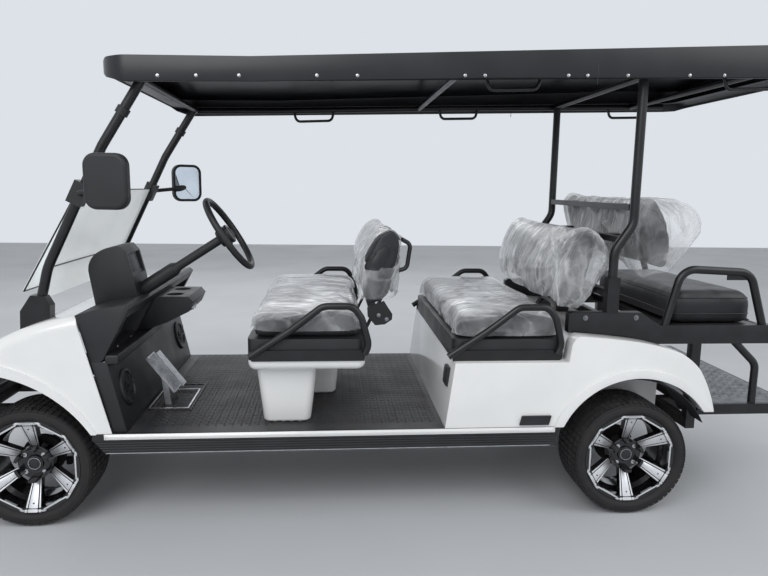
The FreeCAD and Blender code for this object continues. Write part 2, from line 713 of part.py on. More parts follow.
def make_tie_rod():
    """The rod that slides in the rack's housing, with an eye under each steering arm."""
    rack_x = "front_axle_x - steer_arm"
    rack_z = "tyre_radius - rack_drop"
    rod = cylinder("rod", "tie_rod_radius", "2 * kingpin_y", rack_x, "-kingpin_y", rack_z, "Y")
    eye = cylinder("eye", "tie_rod_radius * 1.7", "tie_rod_radius * 2", rack_x, "kingpin_y",
                   "tyre_radius - rack_drop - tie_rod_radius")
    return fuse("tie_rod", rod, eye, mirrored(eye))


def make_knuckle():
    """A fork round the kingpin boss, its pin, the steering arm, the drum and the spindle."""
    ear_length = "kingpin_radius * 5"
    ear_gap = "1"
    top = f"tyre_radius + boss_height / 2 + {ear_gap}"
    foot = f"tyre_radius - boss_height / 2 - {ear_gap} - ear_thickness"
    ear = ("kingpin_radius * 5", "kingpin_radius * 5 + 9")
    upper = box("ear_upper", ear_length, ear[1], "ear_thickness",
                "front_axle_x - kingpin_radius * 2.5", "kingpin_y - kingpin_radius * 2.5", top)
    lower = box("ear_lower", ear_length, ear[1], "ear_thickness",
                "front_axle_x - kingpin_radius * 2.5", "kingpin_y - kingpin_radius * 2.5", foot)
    back = box("fork_back", ear_length, "10", "boss_height + 2 * ear_thickness + 2",
               "front_axle_x - kingpin_radius * 2.5", "kingpin_y + kingpin_radius * 2.5", foot)
    pin = cylinder("kingpin", "kingpin_radius", "boss_height + 2 * ear_thickness + 2",
                   "front_axle_x", "kingpin_y", foot)
    arm = box("steering_arm", "steer_arm + 14", "24", "ear_thickness - 4",
              "front_axle_x - steer_arm - 14", "kingpin_y - 12", "tyre_radius - rack_drop + tie_rod_radius + 2")
    drum = cylinder("drum", "drum_radius", "drum_width",
                    "front_axle_x", "kingpin_y + kingpin_radius * 2.5 + 8", "tyre_radius", "Y")
    spindle = cylinder("spindle", "spindle_radius", "kingpin_inset + spindle_reach - kingpin_radius * 2.5",
                       "front_axle_x", "kingpin_y + kingpin_radius * 2.5", "tyre_radius", "Y")
    return fuse("knuckle_left", upper, lower, back, pin, arm, drum, spindle)


def make_rear_axle():
    """The axle tube with its drums and stubs, the gear case, the motor, and two leaf springs."""
    tube_end = "rear_wheel_y - 85"
    axle = cylinder("axle_tube_rear", "member_size * 0.8", f"2 * ({tube_end})",
                    "rear_axle_x", f"-({tube_end})", "tyre_radius", "Y")
    stub = cylinder("stub", "spindle_radius", "2 * (rear_wheel_y + spindle_reach)",
                    "rear_axle_x", "-(rear_wheel_y + spindle_reach)", "tyre_radius", "Y")
    drum = cylinder("rear_drum", "drum_radius", "drum_width", "rear_axle_x", f"{tube_end}", "tyre_radius", "Y")
    case = cylinder("gear_case", "motor_radius * 0.9", "130", "rear_axle_x", "-65", "tyre_radius", "Y")
    motor = cylinder("motor", "motor_radius", "motor_length",
                     "rear_axle_x + 40", "-rail_y + rail_width / 2 + motor_radius + 10", "tyre_radius", "X")
    pieces = [axle, stub, drum, mirrored(drum), case, motor]
    spring_room = "frame_bottom - tyre_radius - member_size * 0.8"
    saddle = box("spring_saddle", "90", "rail_width + 10", f"{spring_room} - 4 * leaf_thickness + 10",
                 "rear_axle_x - 45", "rail_y - rail_width / 2 - 5", "tyre_radius + member_size * 0.8 - 10")
    pieces += [saddle, mirrored(saddle)]
    for step in range(4):
        leaf = box(f"leaf_{step}", f"leaf_length * (1 - 0.22 * {step})", "rail_width", "leaf_thickness",
                   f"rear_axle_x - leaf_length * (0.5 - 0.11 * {step})", "rail_y - rail_width / 2",
                   f"frame_bottom - leaf_thickness * ({step} + 1)")
        pieces += [leaf, mirrored(leaf)]
    return fuse("rear_axle", *pieces)


node("chassis_frame", make_chassis())
node("front_axle", make_front_axle())
node("tie_rod", make_tie_rod())
knuckle = make_knuckle()
node("knuckle_left", knuckle)
node("knuckle_right", mirrored(knuckle))
node("rear_axle", make_rear_axle())
node("battery_pack", box("battery_pack", "battery_length", "battery_width", "battery_height",
                         "body_front_x - 60 - battery_length", "-battery_width / 2", "frame_top"))


# Floor, sills and bumper

def make_floor():
    """The floor tray with its mat, and the raised frame round the pedals."""
    tray = box("floor_tray", "kick_foot_x - body_front_x", "body_width - 2 * sill_width", "floor_thickness",
               "body_front_x", "-side_y + sill_width", "frame_top")
    rim = box("hatch_rim", "hatch_length", "hatch_width", "5",
              "cowl_foot_x - 80 - hatch_length", "driver_y + 70 - hatch_width", "floor_top")
    inside = box("hatch_inside", "hatch_length - 24", "hatch_width - 24", "10",
                 "cowl_foot_x - 68 - hatch_length", "driver_y + 82 - hatch_width", "floor_top")
    return fuse("floor_plate", tray, cut("hatch_frame", rim, inside))


def make_rocker():
    """The left rocker: a white strip, a ribbed panel and a bright strip at its foot, slanted behind the wheel."""
    foot = "floor_top - sill_height"
    edge = f"{foot} + sill_edge"
    strip = "floor_top - sill_trim"
    outline = [("side_y - sill_width", foot), ("side_y + 1.5", foot), ("side_y + 1.5", edge), ("side_y", edge)]
    for rib in range(1, 5):
        level = f"{edge} + (sill_height - sill_trim - sill_edge) * {rib} / 5"
        outline += [("side_y", f"{level} - 3"), ("side_y - 3", level), ("side_y", f"{level} + 3")]
    outline += [("side_y", strip), ("side_y + 2", strip), ("side_y + 2", "floor_top"),
                ("side_y - sill_width", "floor_top")]
    bar = plate("rocker_bar", "YZ", outline, "cowl_foot_x + 120 - (rear_axle_x + 320)",
                "(cowl_foot_x + 120 + rear_axle_x + 320) / 2")
    reach = plate("rocker_reach", "XZ", [
        ("rear_axle_x + 300", foot + " - 1"),
        ("cowl_foot_x + 28", foot + " - 1"),
        ("cowl_foot_x + 76", strip),
        ("cowl_foot_x + 76", "floor_top + 1"),
        ("rear_axle_x + 300", "floor_top + 1"),
    ], "body_width + 20")
    return common("rocker_left", bar, reach)


def make_bumper():
    """A bar across the nose, curved back at its ends."""
    half = "bumper_width / 2"
    body = plate("front_bumper", "XY", [
        ("nose_x - 10", f"-({half} - 70)"),
        ("nose_x - 60", f"-({half})"),
        ("nose_x - 12", f"-({half})", "80"),
        ("half_length", f"-({half} - 90)"),
        ("half_length", f"{half} - 90", "80"),
        ("nose_x - 12", half),
        ("nose_x - 60", half),
        ("nose_x - 10", f"{half} - 70"),
    ], "bumper_height", "floor_top - 4 - bumper_height / 2")
    return body


node("floor_plate", make_floor())
rocker = make_rocker()
node("rockers", group("rockers", rocker, mirrored(rocker)))
node("front_bumper", make_bumper())


# Front body

def front_arch_outline(back, ahead, rise):
    """A front wheel arch: a long sweep up from the sill and a tighter one down to the nose."""
    return [
        (f"front_axle_x - {back}", "floor_top - 60"),
        (f"front_axle_x + {ahead}", "floor_top - 60"),
        (f"front_axle_x + {ahead}", "floor_top", "front_arch_ahead * 1.02"),
        ("front_axle_x + 77", f"floor_top + {rise}", "front_arch_back * 2.1"),
        (f"front_axle_x - {back}", "floor_top"),
    ]


def cowl_block(name, inset, past):
    """The cowl's form drawn in by inset, and carried past its open back and foot."""
    flank = plate(name + "_side", "XZ", [
        (f"cowl_foot_x - {past}", f"floor_top - {past}"),
        (f"nose_x - {inset}", f"floor_top - {past}", "400"),
        (f"nose_x - 30 - {inset}", f"floor_top + nose_rise - {inset}", "520"),
        (f"front_axle_x + bonnet_edge_ahead - {inset}", f"floor_top + bonnet_edge_rise - {inset}", "870"),
        (f"cowl_head_x - {past}", f"cowl_head_z - {inset}"),
    ], "body_width + 10")
    half = f"side_y - {inset}"
    corner = "nose_corner * 1.1"
    bow = "((side_y - nose_corner)^2 + nose_bow^2) / (2 * nose_bow)"
    plan = plate(name + "_plan", "XY", [
        (f"cowl_foot_x - 5 - {past}", f"-({half})"),
        ("nose_x - nose_corner", f"-({half})", corner),
        (f"nose_x - nose_bow - {inset}", "-(side_y - nose_corner)", bow),
        (f"nose_x - nose_bow - {inset}", "side_y - nose_corner", corner),
        ("nose_x - nose_corner", half),
        (f"cowl_foot_x - 5 - {past}", half),
    ], "cowl_rise * 2", "floor_top + cowl_rise / 2")
    solid = common(name, flank, plan)
    doc.recompute()
    radius = number("cowl_round") - number(inset)
    rounded = doc.addObject("Part::Fillet", name + "_rounded")
    rounded.Base = solid
    rounded.Edges = [
        (index, radius, radius)
        for index, edge in enumerate(solid.Shape.Edges, start=1)
        if edge.BoundBox.ZMax > number("floor_top") + 60
        and edge.BoundBox.ZLength < edge.BoundBox.XLength * 2
        and edge.BoundBox.YLength < 1
        and abs(edge.BoundBox.YMax) > number(half) - 1
    ]
    return rounded


def make_cowl():
    """The front cowl: a hollow moulding with rounded crests, cut and lipped at its two arches."""
    skin = cut("cowl_skin", cowl_block("cowl_outer", "0", "0"), cowl_block("cowl_inner", "shell_wall", "20"))
    arch = plate("front_arch", "XZ",
                 front_arch_outline("front_arch_back", "front_arch_ahead", "front_arch_rise"), "body_width * 2")
    lip = plate("front_lip", "XZ", front_arch_outline("(front_arch_back + 20)", "(front_arch_ahead + 34)",
                                                      "(front_arch_rise + 44)"),
                "arch_lip + shell_wall", "side_y + (arch_lip - shell_wall) / 2")
    above_floor = box("above_floor", "wheelbase", "body_width * 2", "cowl_rise * 2",
                      "cowl_foot_x", "-body_width", "floor_top")
    lips = common("front_lips", group("front_lip_pair", lip, mirrored(lip)), above_floor)
    lamp_hole = cylinder("lamp_hole", "lamp_radius + seat_gap", "front_overhang", "front_axle_x + 120",
                         "lamp_y", "floor_top + lamp_rise", "X")
    return cut("front_cowl", fuse("cowl_with_lips", skin, lips), arch, lamp_hole, mirrored(lamp_hole))


node("front_cowl", make_cowl())


# Dash, column, pedals and lamps

def make_headlights():
    """Two round lamps with domed lenses, set in the slope of the bonnet."""
    lamp = turned("headlight_left", [
        ("0", "0"),
        ("lamp_radius * 0.6", "0"),
        ("lamp_radius", "60"),
        ("lamp_radius", "150", dome("lamp_radius", 14)),
        ("0", "164"),
    ])
    lamp.Placement = Placement(Vector(), TURNS["X"])
    place(lamp, "front_axle_x + 170", "lamp_y", "floor_top + lamp_rise")
    return group("headlights", lamp, mirrored(lamp))


def dash_outline(inset, past):
    """The dash from the side: its top, its leaning face and its lower lip."""
    return [
        (f"cowl_head_x - 47 + {past}", f"kick_head_z + {inset}"),
        (f"cowl_head_x + {past}", f"cowl_head_z - {inset}"),
        ("cowl_head_x - dash_depth * 0.44", f"dash_top_z - {inset}"),
        (f"cowl_head_x - dash_depth + {inset}", f"dash_top_z + 16 - {inset}"),
        (f"cowl_head_x - dash_depth - 16 + 1.5 * {inset}", "dash_top_z"),
        (f"cowl_head_x - 95 + 1.1 * {inset}", f"kick_head_z + 8 + {inset}"),
        (f"cowl_head_x - 82 + {inset}", f"kick_head_z + {inset}"),
    ]


def console_outline(inset, past):
    """The middle console from the side: a flat top and a chin that slopes back to the dash."""
    back = "cowl_head_x - dash_depth - console_depth"
    return [
        (f"cowl_head_x - 110 + {past}", f"kick_head_z + 20 + 2 * {inset}"),
        (f"cowl_head_x - 110 + {past}", f"dash_top_z - 26 - {inset}"),
        (f"{back} + 20", f"dash_top_z - 26 - {inset}"),
        (f"{back} + {inset}", "dash_top_z - 50"),
        (f"{back} + 20 + {inset}", f"dash_top_z - 95 + {inset}"),
        ("cowl_head_x - dash_depth - 45", f"dash_top_z - 145 + {inset}"),
    ]


def column_hole(name, radius):
    """A hole along the steering column."""
    hole = cylinder(name, radius, "900", "wheel_x", "driver_y", "wheel_z")
    lean_column(hole, "900")
    return hole


def lean_column(piece, down):
    """Lay a piece that is drawn along Z on the column's axis, starting this far down from the wheel."""
    piece.Placement = Placement(Vector(), Rotation(Vector(0, -1, 0), 90 - number("steering_slope")))
    bind(piece, {".Placement.Rotation.Angle": "90 - steering_slope"})
    place(piece, f"wheel_x + ({down}) * cos(steering_slope)", "driver_y",
          f"wheel_z - ({down}) * sin(steering_slope)")


def make_dash():
    """The hollow dash with a cubby each side and a console with two cup holders."""
    width = "body_width - 2 * sill_width"
    outer = plate("dash_outer", "XZ", dash_outline("0", "0"), width)
    inner = plate("dash_inner", "XZ", dash_outline("shell_wall", "20"), f"{width} - 2 * shell_wall")
    console = plate("console_outer", "XZ", console_outline("0", "0"), "console_width")
    console_inner = plate("console_inner", "XZ", console_outline("shell_wall", "60"),
                          "console_width - 2 * shell_wall")
    cubby_y = "console_width / 2 + 60"
    cubby_width = "side_y - sill_width - 40 - console_width / 2 - 60"
    case = box("cubby_case", "dash_depth", f"{cubby_width} + 2 * shell_wall", "dash_face * 0.62 + 2 * shell_wall",
               "cowl_head_x - dash_depth - 60", f"{cubby_y} - shell_wall", "kick_head_z + 40 - shell_wall")
    pocket = box("cubby_pocket", "dash_depth - shell_wall + 100", cubby_width, "dash_face * 0.62",
                 "cowl_head_x - dash_depth - 160", cubby_y, "kick_head_z + 40")
    cases = common("cubby_cases", group("cubby_case_pair", case, mirrored(case)), outer)
    cups = []
    holes = []
    for side in (-1, 1):
        spot = ("cowl_head_x - dash_depth - 70", f"{side} * console_width / 4")
        cups.append(cylinder("cup_case", "43", "60", *spot, "dash_top_z - 86"))
        holes.append(cylinder("cup_hole", "38", "80", *spot, "dash_top_z - 81"))
    walls = cut("dash_walls", fuse("dash_forms", outer, console), inner, console_inner)
    return cut("dash", fuse("dash_with_cups", walls, cases, *cups), pocket, mirrored(pocket), *holes,
               column_hole("dash_hole", "shroud_radius + seat_gap"))


def make_kick_panel():
    """The leaning panel under the dash, with a jamb at each side that closes it to the cowl."""
    panel = plate("kick_sheet", "XZ", [
        ("kick_foot_x", "floor_top"),
        ("kick_foot_x + shell_wall", "floor_top"),
        ("kick_head_x + shell_wall", "kick_head_z"),
        ("kick_head_x", "kick_head_z"),
    ], "body_width - 2 * sill_width")
    jamb = plate("kick_jamb", "XZ", [
        ("kick_foot_x", "floor_top"),
        ("cowl_foot_x", "floor_top"),
        ("cowl_foot_x + (cowl_head_x - cowl_foot_x) * (kick_head_z - floor_top) / cowl_rise", "kick_head_z"),
        ("kick_head_x", "kick_head_z"),
    ], "shell_wall", "side_y - sill_width - shell_wall / 2")
    return fuse("kick_panel", panel, jamb, mirrored(jamb))


def make_speakers():
    """A speaker at each side of the kick panel: a raised ring round a domed cone."""
    lean = Vector(-number("kick_head_z - floor_top"), 0, number("kick_head_x - kick_foot_x"))
    ring = turned("speaker_left", [
        ("0", "0"),
        ("speaker_radius", "0"),
        ("speaker_radius", "6", "14"),
        ("speaker_radius - 12", "12"),
        ("speaker_radius - 16", "5"),
        ("speaker_radius * 0.3", "2"),
        ("speaker_radius * 0.3", "6", dome("speaker_radius * 0.3", 3)),
        ("0", "9"),
    ])
    ring.Placement = Placement(Vector(), Rotation(Vector(0, 0, 1), lean))
    place(ring, "kick_foot_x + (kick_head_x - kick_foot_x) * 0.52", "side_y - speaker_radius - 62",
          "floor_top + (kick_head_z - floor_top) * 0.52")
    return group("speakers", ring, mirrored(ring))


def make_pod():
    """The instrument pod on the dash, with a hood over its sunken screen."""
    body = plate("pod_block", "XZ", [
        ("cowl_head_x - dash_depth * 0.92", "dash_top_z + 16 * 0.857"),
        ("cowl_head_x - dash_depth * 0.44", "dash_top_z"),
        ("cowl_head_x", "cowl_head_z"),
        ("cowl_head_x + 21", "dash_top_z + pod_rise * 0.53", "90"),
        ("cowl_head_x - 7", "dash_top_z + pod_rise * 0.845", "150"),
        ("cowl_head_x - 110", "dash_top_z + pod_rise"),
        ("cowl_head_x - 134", "dash_top_z + pod_rise * 0.87"),
        ("cowl_head_x - 158", "dash_top_z + pod_rise * 0.42"),
    ], "pod_width", "driver_y")
    screen = plate("pod_screen", "XZ", [
        ("cowl_head_x - 190", "dash_top_z + pod_rise * 0.44"),
        ("cowl_head_x - 149", "dash_top_z + pod_rise * 0.45"),
        ("cowl_head_x - 124", "dash_top_z + pod_rise * 0.86"),
        ("cowl_head_x - 190", "dash_top_z + pod_rise * 0.84"),
    ], "pod_width - 28", "driver_y")
    return cut("instrument_pod", body, screen, doc.dash_outer, column_hole("pod_hole", "shroud_radius + seat_gap"))


def make_column():
    """The column's tube and shroud, bored for the shaft."""
    bare = cylinder("column_tube", "column_radius", "410", "0", "0", "-460")
    shroud = turned("column_shroud", [
        ("0", "-470"),
        ("shroud_radius", "-470"),
        ("shroud_radius", "-470 + shroud_length"),
        ("column_radius", "-470 + shroud_length + 22"),
        ("0", "-470 + shroud_length + 22"),
    ])
    stalk = cylinder("column_stalk", "7", "52", "0", "-70", "-150", "Y")
    knob = cylinder("column_knob", "11", "22", "0", "-86", "-150", "Y")
    bore = cylinder("column_bore", "shaft_radius + running_gap", "120", "0", "0", "-130")
    column = cut("steering_column", fuse("column_form", bare, shroud, stalk, knob), bore)
    lean_column(column, "0")
    return column


def make_steering_wheel():
    """A grip ring on three dished spokes, with a hub and its shaft."""
    ring = doc.addObject("Part::Torus", "steering_ring")
    bind(ring, {"Radius1": "steering_rim", "Radius2": "steering_grip"})
    hub = turned("steering_hub", [
        ("0", "-120"),
        ("shaft_radius", "-120"),
        ("shaft_radius", "-48"),
        ("36", "-48"),
        ("46", "-30"),
        ("46", "-14", "30"),
        ("34", "-6"),
        ("0", "-6"),
    ])
    spokes = []
    for angle in (-90, 30, 150):
        spoke = plate("steering_spoke", "XZ", [
            ("30", "-34"),
            ("46", "-34"),
            ("steering_rim - 6", "-8"),
            ("steering_rim - 6", "0"),
            ("steering_rim - 16", "0"),
            ("30", "-22"),
        ], "30")
        spoke.Placement = Placement(Vector(), Rotation(Vector(0, 0, 1), angle))
        spokes.append(spoke)
    wheel = fuse("steering_wheel", ring, hub, *spokes)
    lean_column(wheel, "0")
    return wheel


def make_pedals():
    """A wide brake pedal and a narrow accelerator, each a leaning plate on an arm."""
    table = [
        ("brake", "driver_y + 24", "pedal_width", "0"),
        ("accelerator", "driver_y - 96", "pedal_width * 0.6", "18"),
    ]
    pieces = []
    for name, middle, width, lower in table:
        foot = ("cowl_foot_x - 189", f"floor_top + 87 - {lower}")
        tread = plate(name + "_tread", "XZ", [
            foot,
            (f"{foot[0]} + 8", f"{foot[1]} - 6"),
            (f"{foot[0]} + 8 + pedal_length * 0.6", f"{foot[1]} - 6 + pedal_length * 0.8"),
            (f"{foot[0]} + pedal_length * 0.6", f"{foot[1]} + pedal_length * 0.8"),
        ], width, middle)
        arm = plate(name + "_arm", "XZ", [
            (f"{foot[0]} + 30", "floor_top"),
            (f"{foot[0]} + 56", "floor_top"),
            (f"{foot[0]} + 74", f"{foot[1]} + 80"),
            (f"{foot[0]} + 48", f"{foot[1]} + 58"),
        ], "14", middle)
        pieces.append(fuse(name, tread, arm))
    return group("pedals", *pieces)


node("headlights", make_headlights())
node("dash", make_dash())
node("kick_panel", make_kick_panel())
node("speakers", make_speakers())
node("instrument_pod", make_pod())
node("steering_column", make_column())
node("steering_wheel", make_steering_wheel())
node("pedals", make_pedals())


# Rear body

def fender_outline(inset, down):
    """The rear body's side: its leaning face, the deck, and the fender's hump down to the tail."""
    return [
        (f"body_front_x - {inset}", f"floor_top - {down}"),
        (f"body_front_x - body_lean - {inset}", f"deck_z - {inset}"),
        (f"hump_x - {inset}", f"deck_z - {inset}"),
        (f"hump_x - 8 - {inset}", "fender_z - 36", "60"),
        (f"hump_x - 40 - {inset} * 0.3", f"fender_z - {inset}", "3000"),
        ("rear_axle_x", f"fender_z - 25 - {inset}", "900"),
        ("rear_axle_x - 187", f"fender_z - 72 - {inset}", "300"),
        (f"tail_x + 74 + {inset} * 0.6", f"fender_z - 147 - {inset} * 0.6", "600"),
        (f"tail_x + {inset}", f"floor_top + 56 - {down}"),
        (f"tail_x + 49 + {inset}", f"floor_top + 56 - {down}"),
        ("arch_x", f"floor_top - {down}"),
    ]


def deck_outline(inset, down):
    """The box of the rear body under its deck."""
    return [
        (f"body_front_x - {inset}", f"floor_top - {down}"),
        (f"body_front_x - body_lean - {inset}", f"deck_z - {inset}"),
        (f"rear_axle_x - rear_arch_back - 195 + {inset}", f"deck_z - {inset}"),
        (f"rear_axle_x - rear_arch_back - 195 + {inset}", f"floor_top - {down}"),
    ]


def make_rear_body():
    """The rear body: a hollow box with a fender hump and a closed wheel well at each side."""
    hump = plate("hump_outer", "XZ", fender_outline("0", "0"), "fender_width", "side_y - fender_width / 2")
    hump_inner = plate("hump_inner", "XZ", fender_outline("shell_wall", "30"),
                       "fender_width - 2 * shell_wall", "side_y - fender_width / 2")
    deck = plate("deck_outer", "XZ", deck_outline("0", "0"), "body_width")
    deck_inner = plate("deck_inner", "XZ", deck_outline("shell_wall", "30"), "body_width - 2 * shell_wall")
    block = fuse("rear_block", deck, hump, mirrored(hump))
    inside = fuse("rear_inside", deck_inner, hump_inner, mirrored(hump_inner))
    walls = cut("rear_walls", block, inside)
    liner = cylinder("well_liner", "rear_arch_radius + shell_wall", "well_width",
                     "arch_x", "side_y - well_width", "tyre_radius", "Y")
    well = cylinder("well_space", "rear_arch_radius", "well_width + 60",
                    "arch_x", "side_y - well_width + shell_wall", "tyre_radius", "Y")
    liners = common("well_liners", group("liner_pair", liner, mirrored(liner)), block)
    band = cylinder("arch_band_ring", "rear_arch_radius + arch_band", "arch_lip + shell_wall",
                    "arch_x", "side_y - shell_wall", "tyre_radius", "Y")
    wide = plate("hump_wide", "XZ", fender_outline("0", "0"), "fender_width + 4 * arch_lip",
                 "side_y - fender_width / 2 + 2 * arch_lip")
    lip = common("rear_lip", band, wide)
    whole = fuse("rear_whole", walls, liners, lip, mirrored(lip))
    return cut("rear_body", whole, well, mirrored(well))


def make_charge_inlet():
    """The charging socket's housing on the face of the rear body."""
    low = "deck_z - 122"
    high = "deck_z - 40"
    face_low = "body_front_x - body_lean * (deck_rise - 122) / deck_rise"
    face_high = "body_front_x - body_lean * (deck_rise - 40) / deck_rise"
    return plate("charge_inlet", "XZ", [
        (face_low, low),
        (f"{face_low} + 10", f"{low} + 6"),
        (f"{face_high} + 16", f"{high} - 14"),
        (f"{face_high} + 12", high),
        (face_high, high),
    ], "72", "side_y - 108")


node("rear_body", make_rear_body())
node("charge_inlet", make_charge_inlet())


# Seats

def soft_block(name, length, width, height, x, z, corner, edge):
    """A seat cushion: a block with rounded corners and crown."""
    body = plate(name, "XY", rectangle(x, f"-({width}) / 2", f"{x} + {length}", f"({width}) / 2"),
                 height, f"{z} + ({height}) / 2")
    round_edges(body, corner, upright)
    top = number(f"{z} + ({height})")
    feature = round_edges(body, edge, lambda rim: abs(rim.BoundBox.ZMin - top) < 0.01)
    feature.Label = name + "_crown"
    return body


def make_pan(name, x, z, width):
    """A seat pan: a tray turned down over the bench, open underneath."""
    outer = plate(name + "_outer", "XY", rectangle(x, f"-({width}) / 2", f"{x} + bench_depth", f"({width}) / 2"),
                  "pan_height", f"{z} + pan_height / 2")
    round_edges(outer, "cushion_inset * 3", upright)
    inner = box(name + "_inner", "bench_depth - 8 * shell_wall", f"({width}) - 8 * shell_wall", "pan_height",
                f"{x} + 4 * shell_wall", f"-({width}) / 2 + 4 * shell_wall", f"{z} - 2 * shell_wall")
    return cut(name, outer, inner)


def backrest_outline(x, z, facing):
    """A backrest from its end; it faces forward for 1 and back for -1."""
    return [
        (f"{x} - 4 * {facing}", z, f"{facing} * 260"),
        (f"{x} + 10 * {facing}", f"{z} + 0.26 * backrest_rise", f"{facing} * 420"),
        (f"{x} - 9 * {facing}", f"{z} + 0.61 * backrest_rise", f"{facing} * 420"),
        (f"{x} - 52 * {facing}", f"{z} + 0.87 * backrest_rise", f"{facing} * 76"),
        (f"{x} - 101 * {facing}", f"{z} + backrest_rise", f"{facing} * 44"),
        (f"{x} - 140 * {facing}", f"{z} + 0.89 * backrest_rise"),
        (f"{x} - 140 * {facing}", f"{z} + 0.78 * backrest_rise"),
        (f"{x} - 90 * {facing}", f"{z} + 0.09 * backrest_rise", f"{facing} * 90"),
    ]


def back_line(x, facing, share):
    """X of a backrest's flat back at this share of its straight stretch."""
    return f"({x} - (90 + 50 * {share}) * {facing})"


def back_share(z, foot):
    """The share of a backrest's straight stretch at this height."""
    return f"(({z}) - {foot} - 0.09 * backrest_rise) / (0.69 * backrest_rise)"


def make_bench_base():
    """The front bench's moulding: a tray on two tapering pedestals and a middle box."""
    tray = box("bench_tray", "bench_depth", "bench_width", "tray_height", "bench_x", "-bench_width / 2", "tray_z")
    tray_inside = box("bench_tray_inside", "bench_depth - 2 * shell_wall", "bench_width - 2 * shell_wall",
                      "tray_height", "bench_x + shell_wall", "-bench_width / 2 + shell_wall",
                      "tray_z - shell_wall")

    def leg(name, front, top, foot, inset, width, middle):
        return plate(name, "XZ", [
            (f"{front} - (({top}) - ({foot})) / 2 - {inset}", f"floor_top - {inset}"),
            (f"{front} - {inset}", f"tray_z + tray_height - 1 - {inset}"),
            (f"{front} - ({top}) + {inset}", f"tray_z + tray_height - 1 - {inset}"),
            (f"{front} - (({top}) + ({foot})) / 2 + {inset}", f"floor_top - {inset}"),
        ], f"{width} - 2 * {inset}", middle)

    front = "bench_x + bench_depth - 28"
    pedestal_y = "bench_width / 2 - 70 - pedestal_width / 2"
    pedestal = leg("pedestal", front, "pedestal_top", "pedestal_foot", "0", "pedestal_width", pedestal_y)
    hollow = leg("pedestal_inside", front, "pedestal_top", "pedestal_foot", "shell_wall", "pedestal_width",
                 pedestal_y)
    middle_front = "bench_x + pedestal_top + 46"
    middle = leg("centre_box", middle_front, "pedestal_foot", "pedestal_foot - 40", "0", "centre_box_width", "0")
    middle_hollow = leg("centre_box_inside", middle_front, "pedestal_foot", "pedestal_foot - 40", "shell_wall",
                        "centre_box_width", "0")
    solid = fuse("bench_form", cut("bench_rim", tray, tray_inside), pedestal, mirrored(pedestal), middle)
    return cut("front_bench_base", solid, hollow, mirrored(hollow), middle_hollow)


def make_armrests(name, x, z, width, reach):
    """A bent tube each side of a bench, welded to a flat bar along the pan."""
    middle = f"({width}) / 2 + 8 + armrest_radius * 0.6"
    shape = [(-11 + 470, 21), (-11 + 310, 129), (172, 229), (51, 229), (18, 180), (-11, 71), (4, 30)]
    route = [
        (f"{x} + {reach} + ({along})", middle, f"{z} + armrest_rise * {up / 229:.4f}")
        for along, up in shape
    ]
    loop = tube(name + "_tube", route, "armrest_radius", "armrest_bend")
    bar = box(name + "_bar", "bench_depth - 20", "8", "pan_height / 2", f"{x} + 4 + {reach} / 2",
              f"({width}) / 2", z)
    side = fuse(name + "_left", loop, bar)
    return group(name, side, mirrored(side))


def make_backrest_frame():
    """Two bent flat bars behind the front backrest, cross tubes and a grab loop at each end."""
    foot = "front_back_z"
    gap = "seat_gap"
    low = back_line("bench_x", "1", "0")
    high = back_line("bench_x", "1", "1")
    low_z = f"{foot} + 0.09 * backrest_rise"
    high_z = f"{foot} + 0.78 * backrest_rise"
    bar = plate("back_bar", "XZ", [
        ("bench_x", "tray_z + 4"),
        ("bench_x", "seat_z - 36"),
        (f"{low} - {gap}", low_z),
        (f"{high} - {gap}", high_z),
        (f"{high} - {gap}", f"{high_z} + 32"),
        (f"{high} - {gap} - 8", f"{high_z} + 32"),
        (f"{high} - {gap} - 8", f"{high_z} + 1"),
        (f"{low} - {gap} - 8.5", f"{low_z} - 3"),
        ("bench_x - 8", "seat_z - 40"),
        ("bench_x - 8", "tray_z + 4"),
    ], "44", "backrest_width * 0.3")
    half = "backrest_width * 0.42"
    rear_low = f"{back_line('bench_x', '1', '0.48')} - 8 - loop_radius"
    rear_high = f"{high} - 8 - loop_radius"
    low_tube_z = f"{foot} + 0.42 * backrest_rise"
    high_tube_z = f"{high_z} + 20"
    tubes = [
        tube("back_tube_low", [(rear_low, f"-{half}", low_tube_z), (rear_low, half, low_tube_z)],
             "loop_radius", "10"),
        tube("back_tube_high", [(rear_high, f"-{half}", high_tube_z), (rear_high, half, high_tube_z)],
             "loop_radius", "10"),
    ]
    loop = tube("grab_loop", [
        (rear_low, half, low_tube_z),
        (f"{rear_high} - 20", half, f"{low_tube_z} + 14"),
        (f"{rear_high} - 34", half, f"{high_tube_z} - 18"),
        (rear_high, half, high_tube_z),
    ], "loop_radius", "26")
    end_y = "backrest_width / 2 + seat_gap"
    foot_bar = box("back_foot_bar", "30", f"2 * ({end_y} + end_plate / 2)", "30", "bench_x - 60",
                   f"-({end_y} + end_plate / 2)", f"{foot} - 66")
    bracket = plate("end_bracket", "XZ", [
        ("bench_x - 8", f"{foot} - 6"),
        ("bench_x - 76", f"{foot} + 21"),
        ("bench_x - 93", f"{foot} - 6"),
        ("bench_x - 111", f"{foot} - 33"),
        ("bench_x - 110", f"{foot} - 56"),
        ("bench_x - 81", f"{foot} - 76"),
        ("bench_x - 41", f"{foot} - 80"),
        ("bench_x - 10", f"{foot} - 43"),
    ][::-1], "end_plate", f"{end_y} + end_plate / 2")
    return fuse("front_backrest_frame", bar, mirrored(bar), *tubes, loop, mirrored(loop), foot_bar, bracket,
                mirrored(bracket))


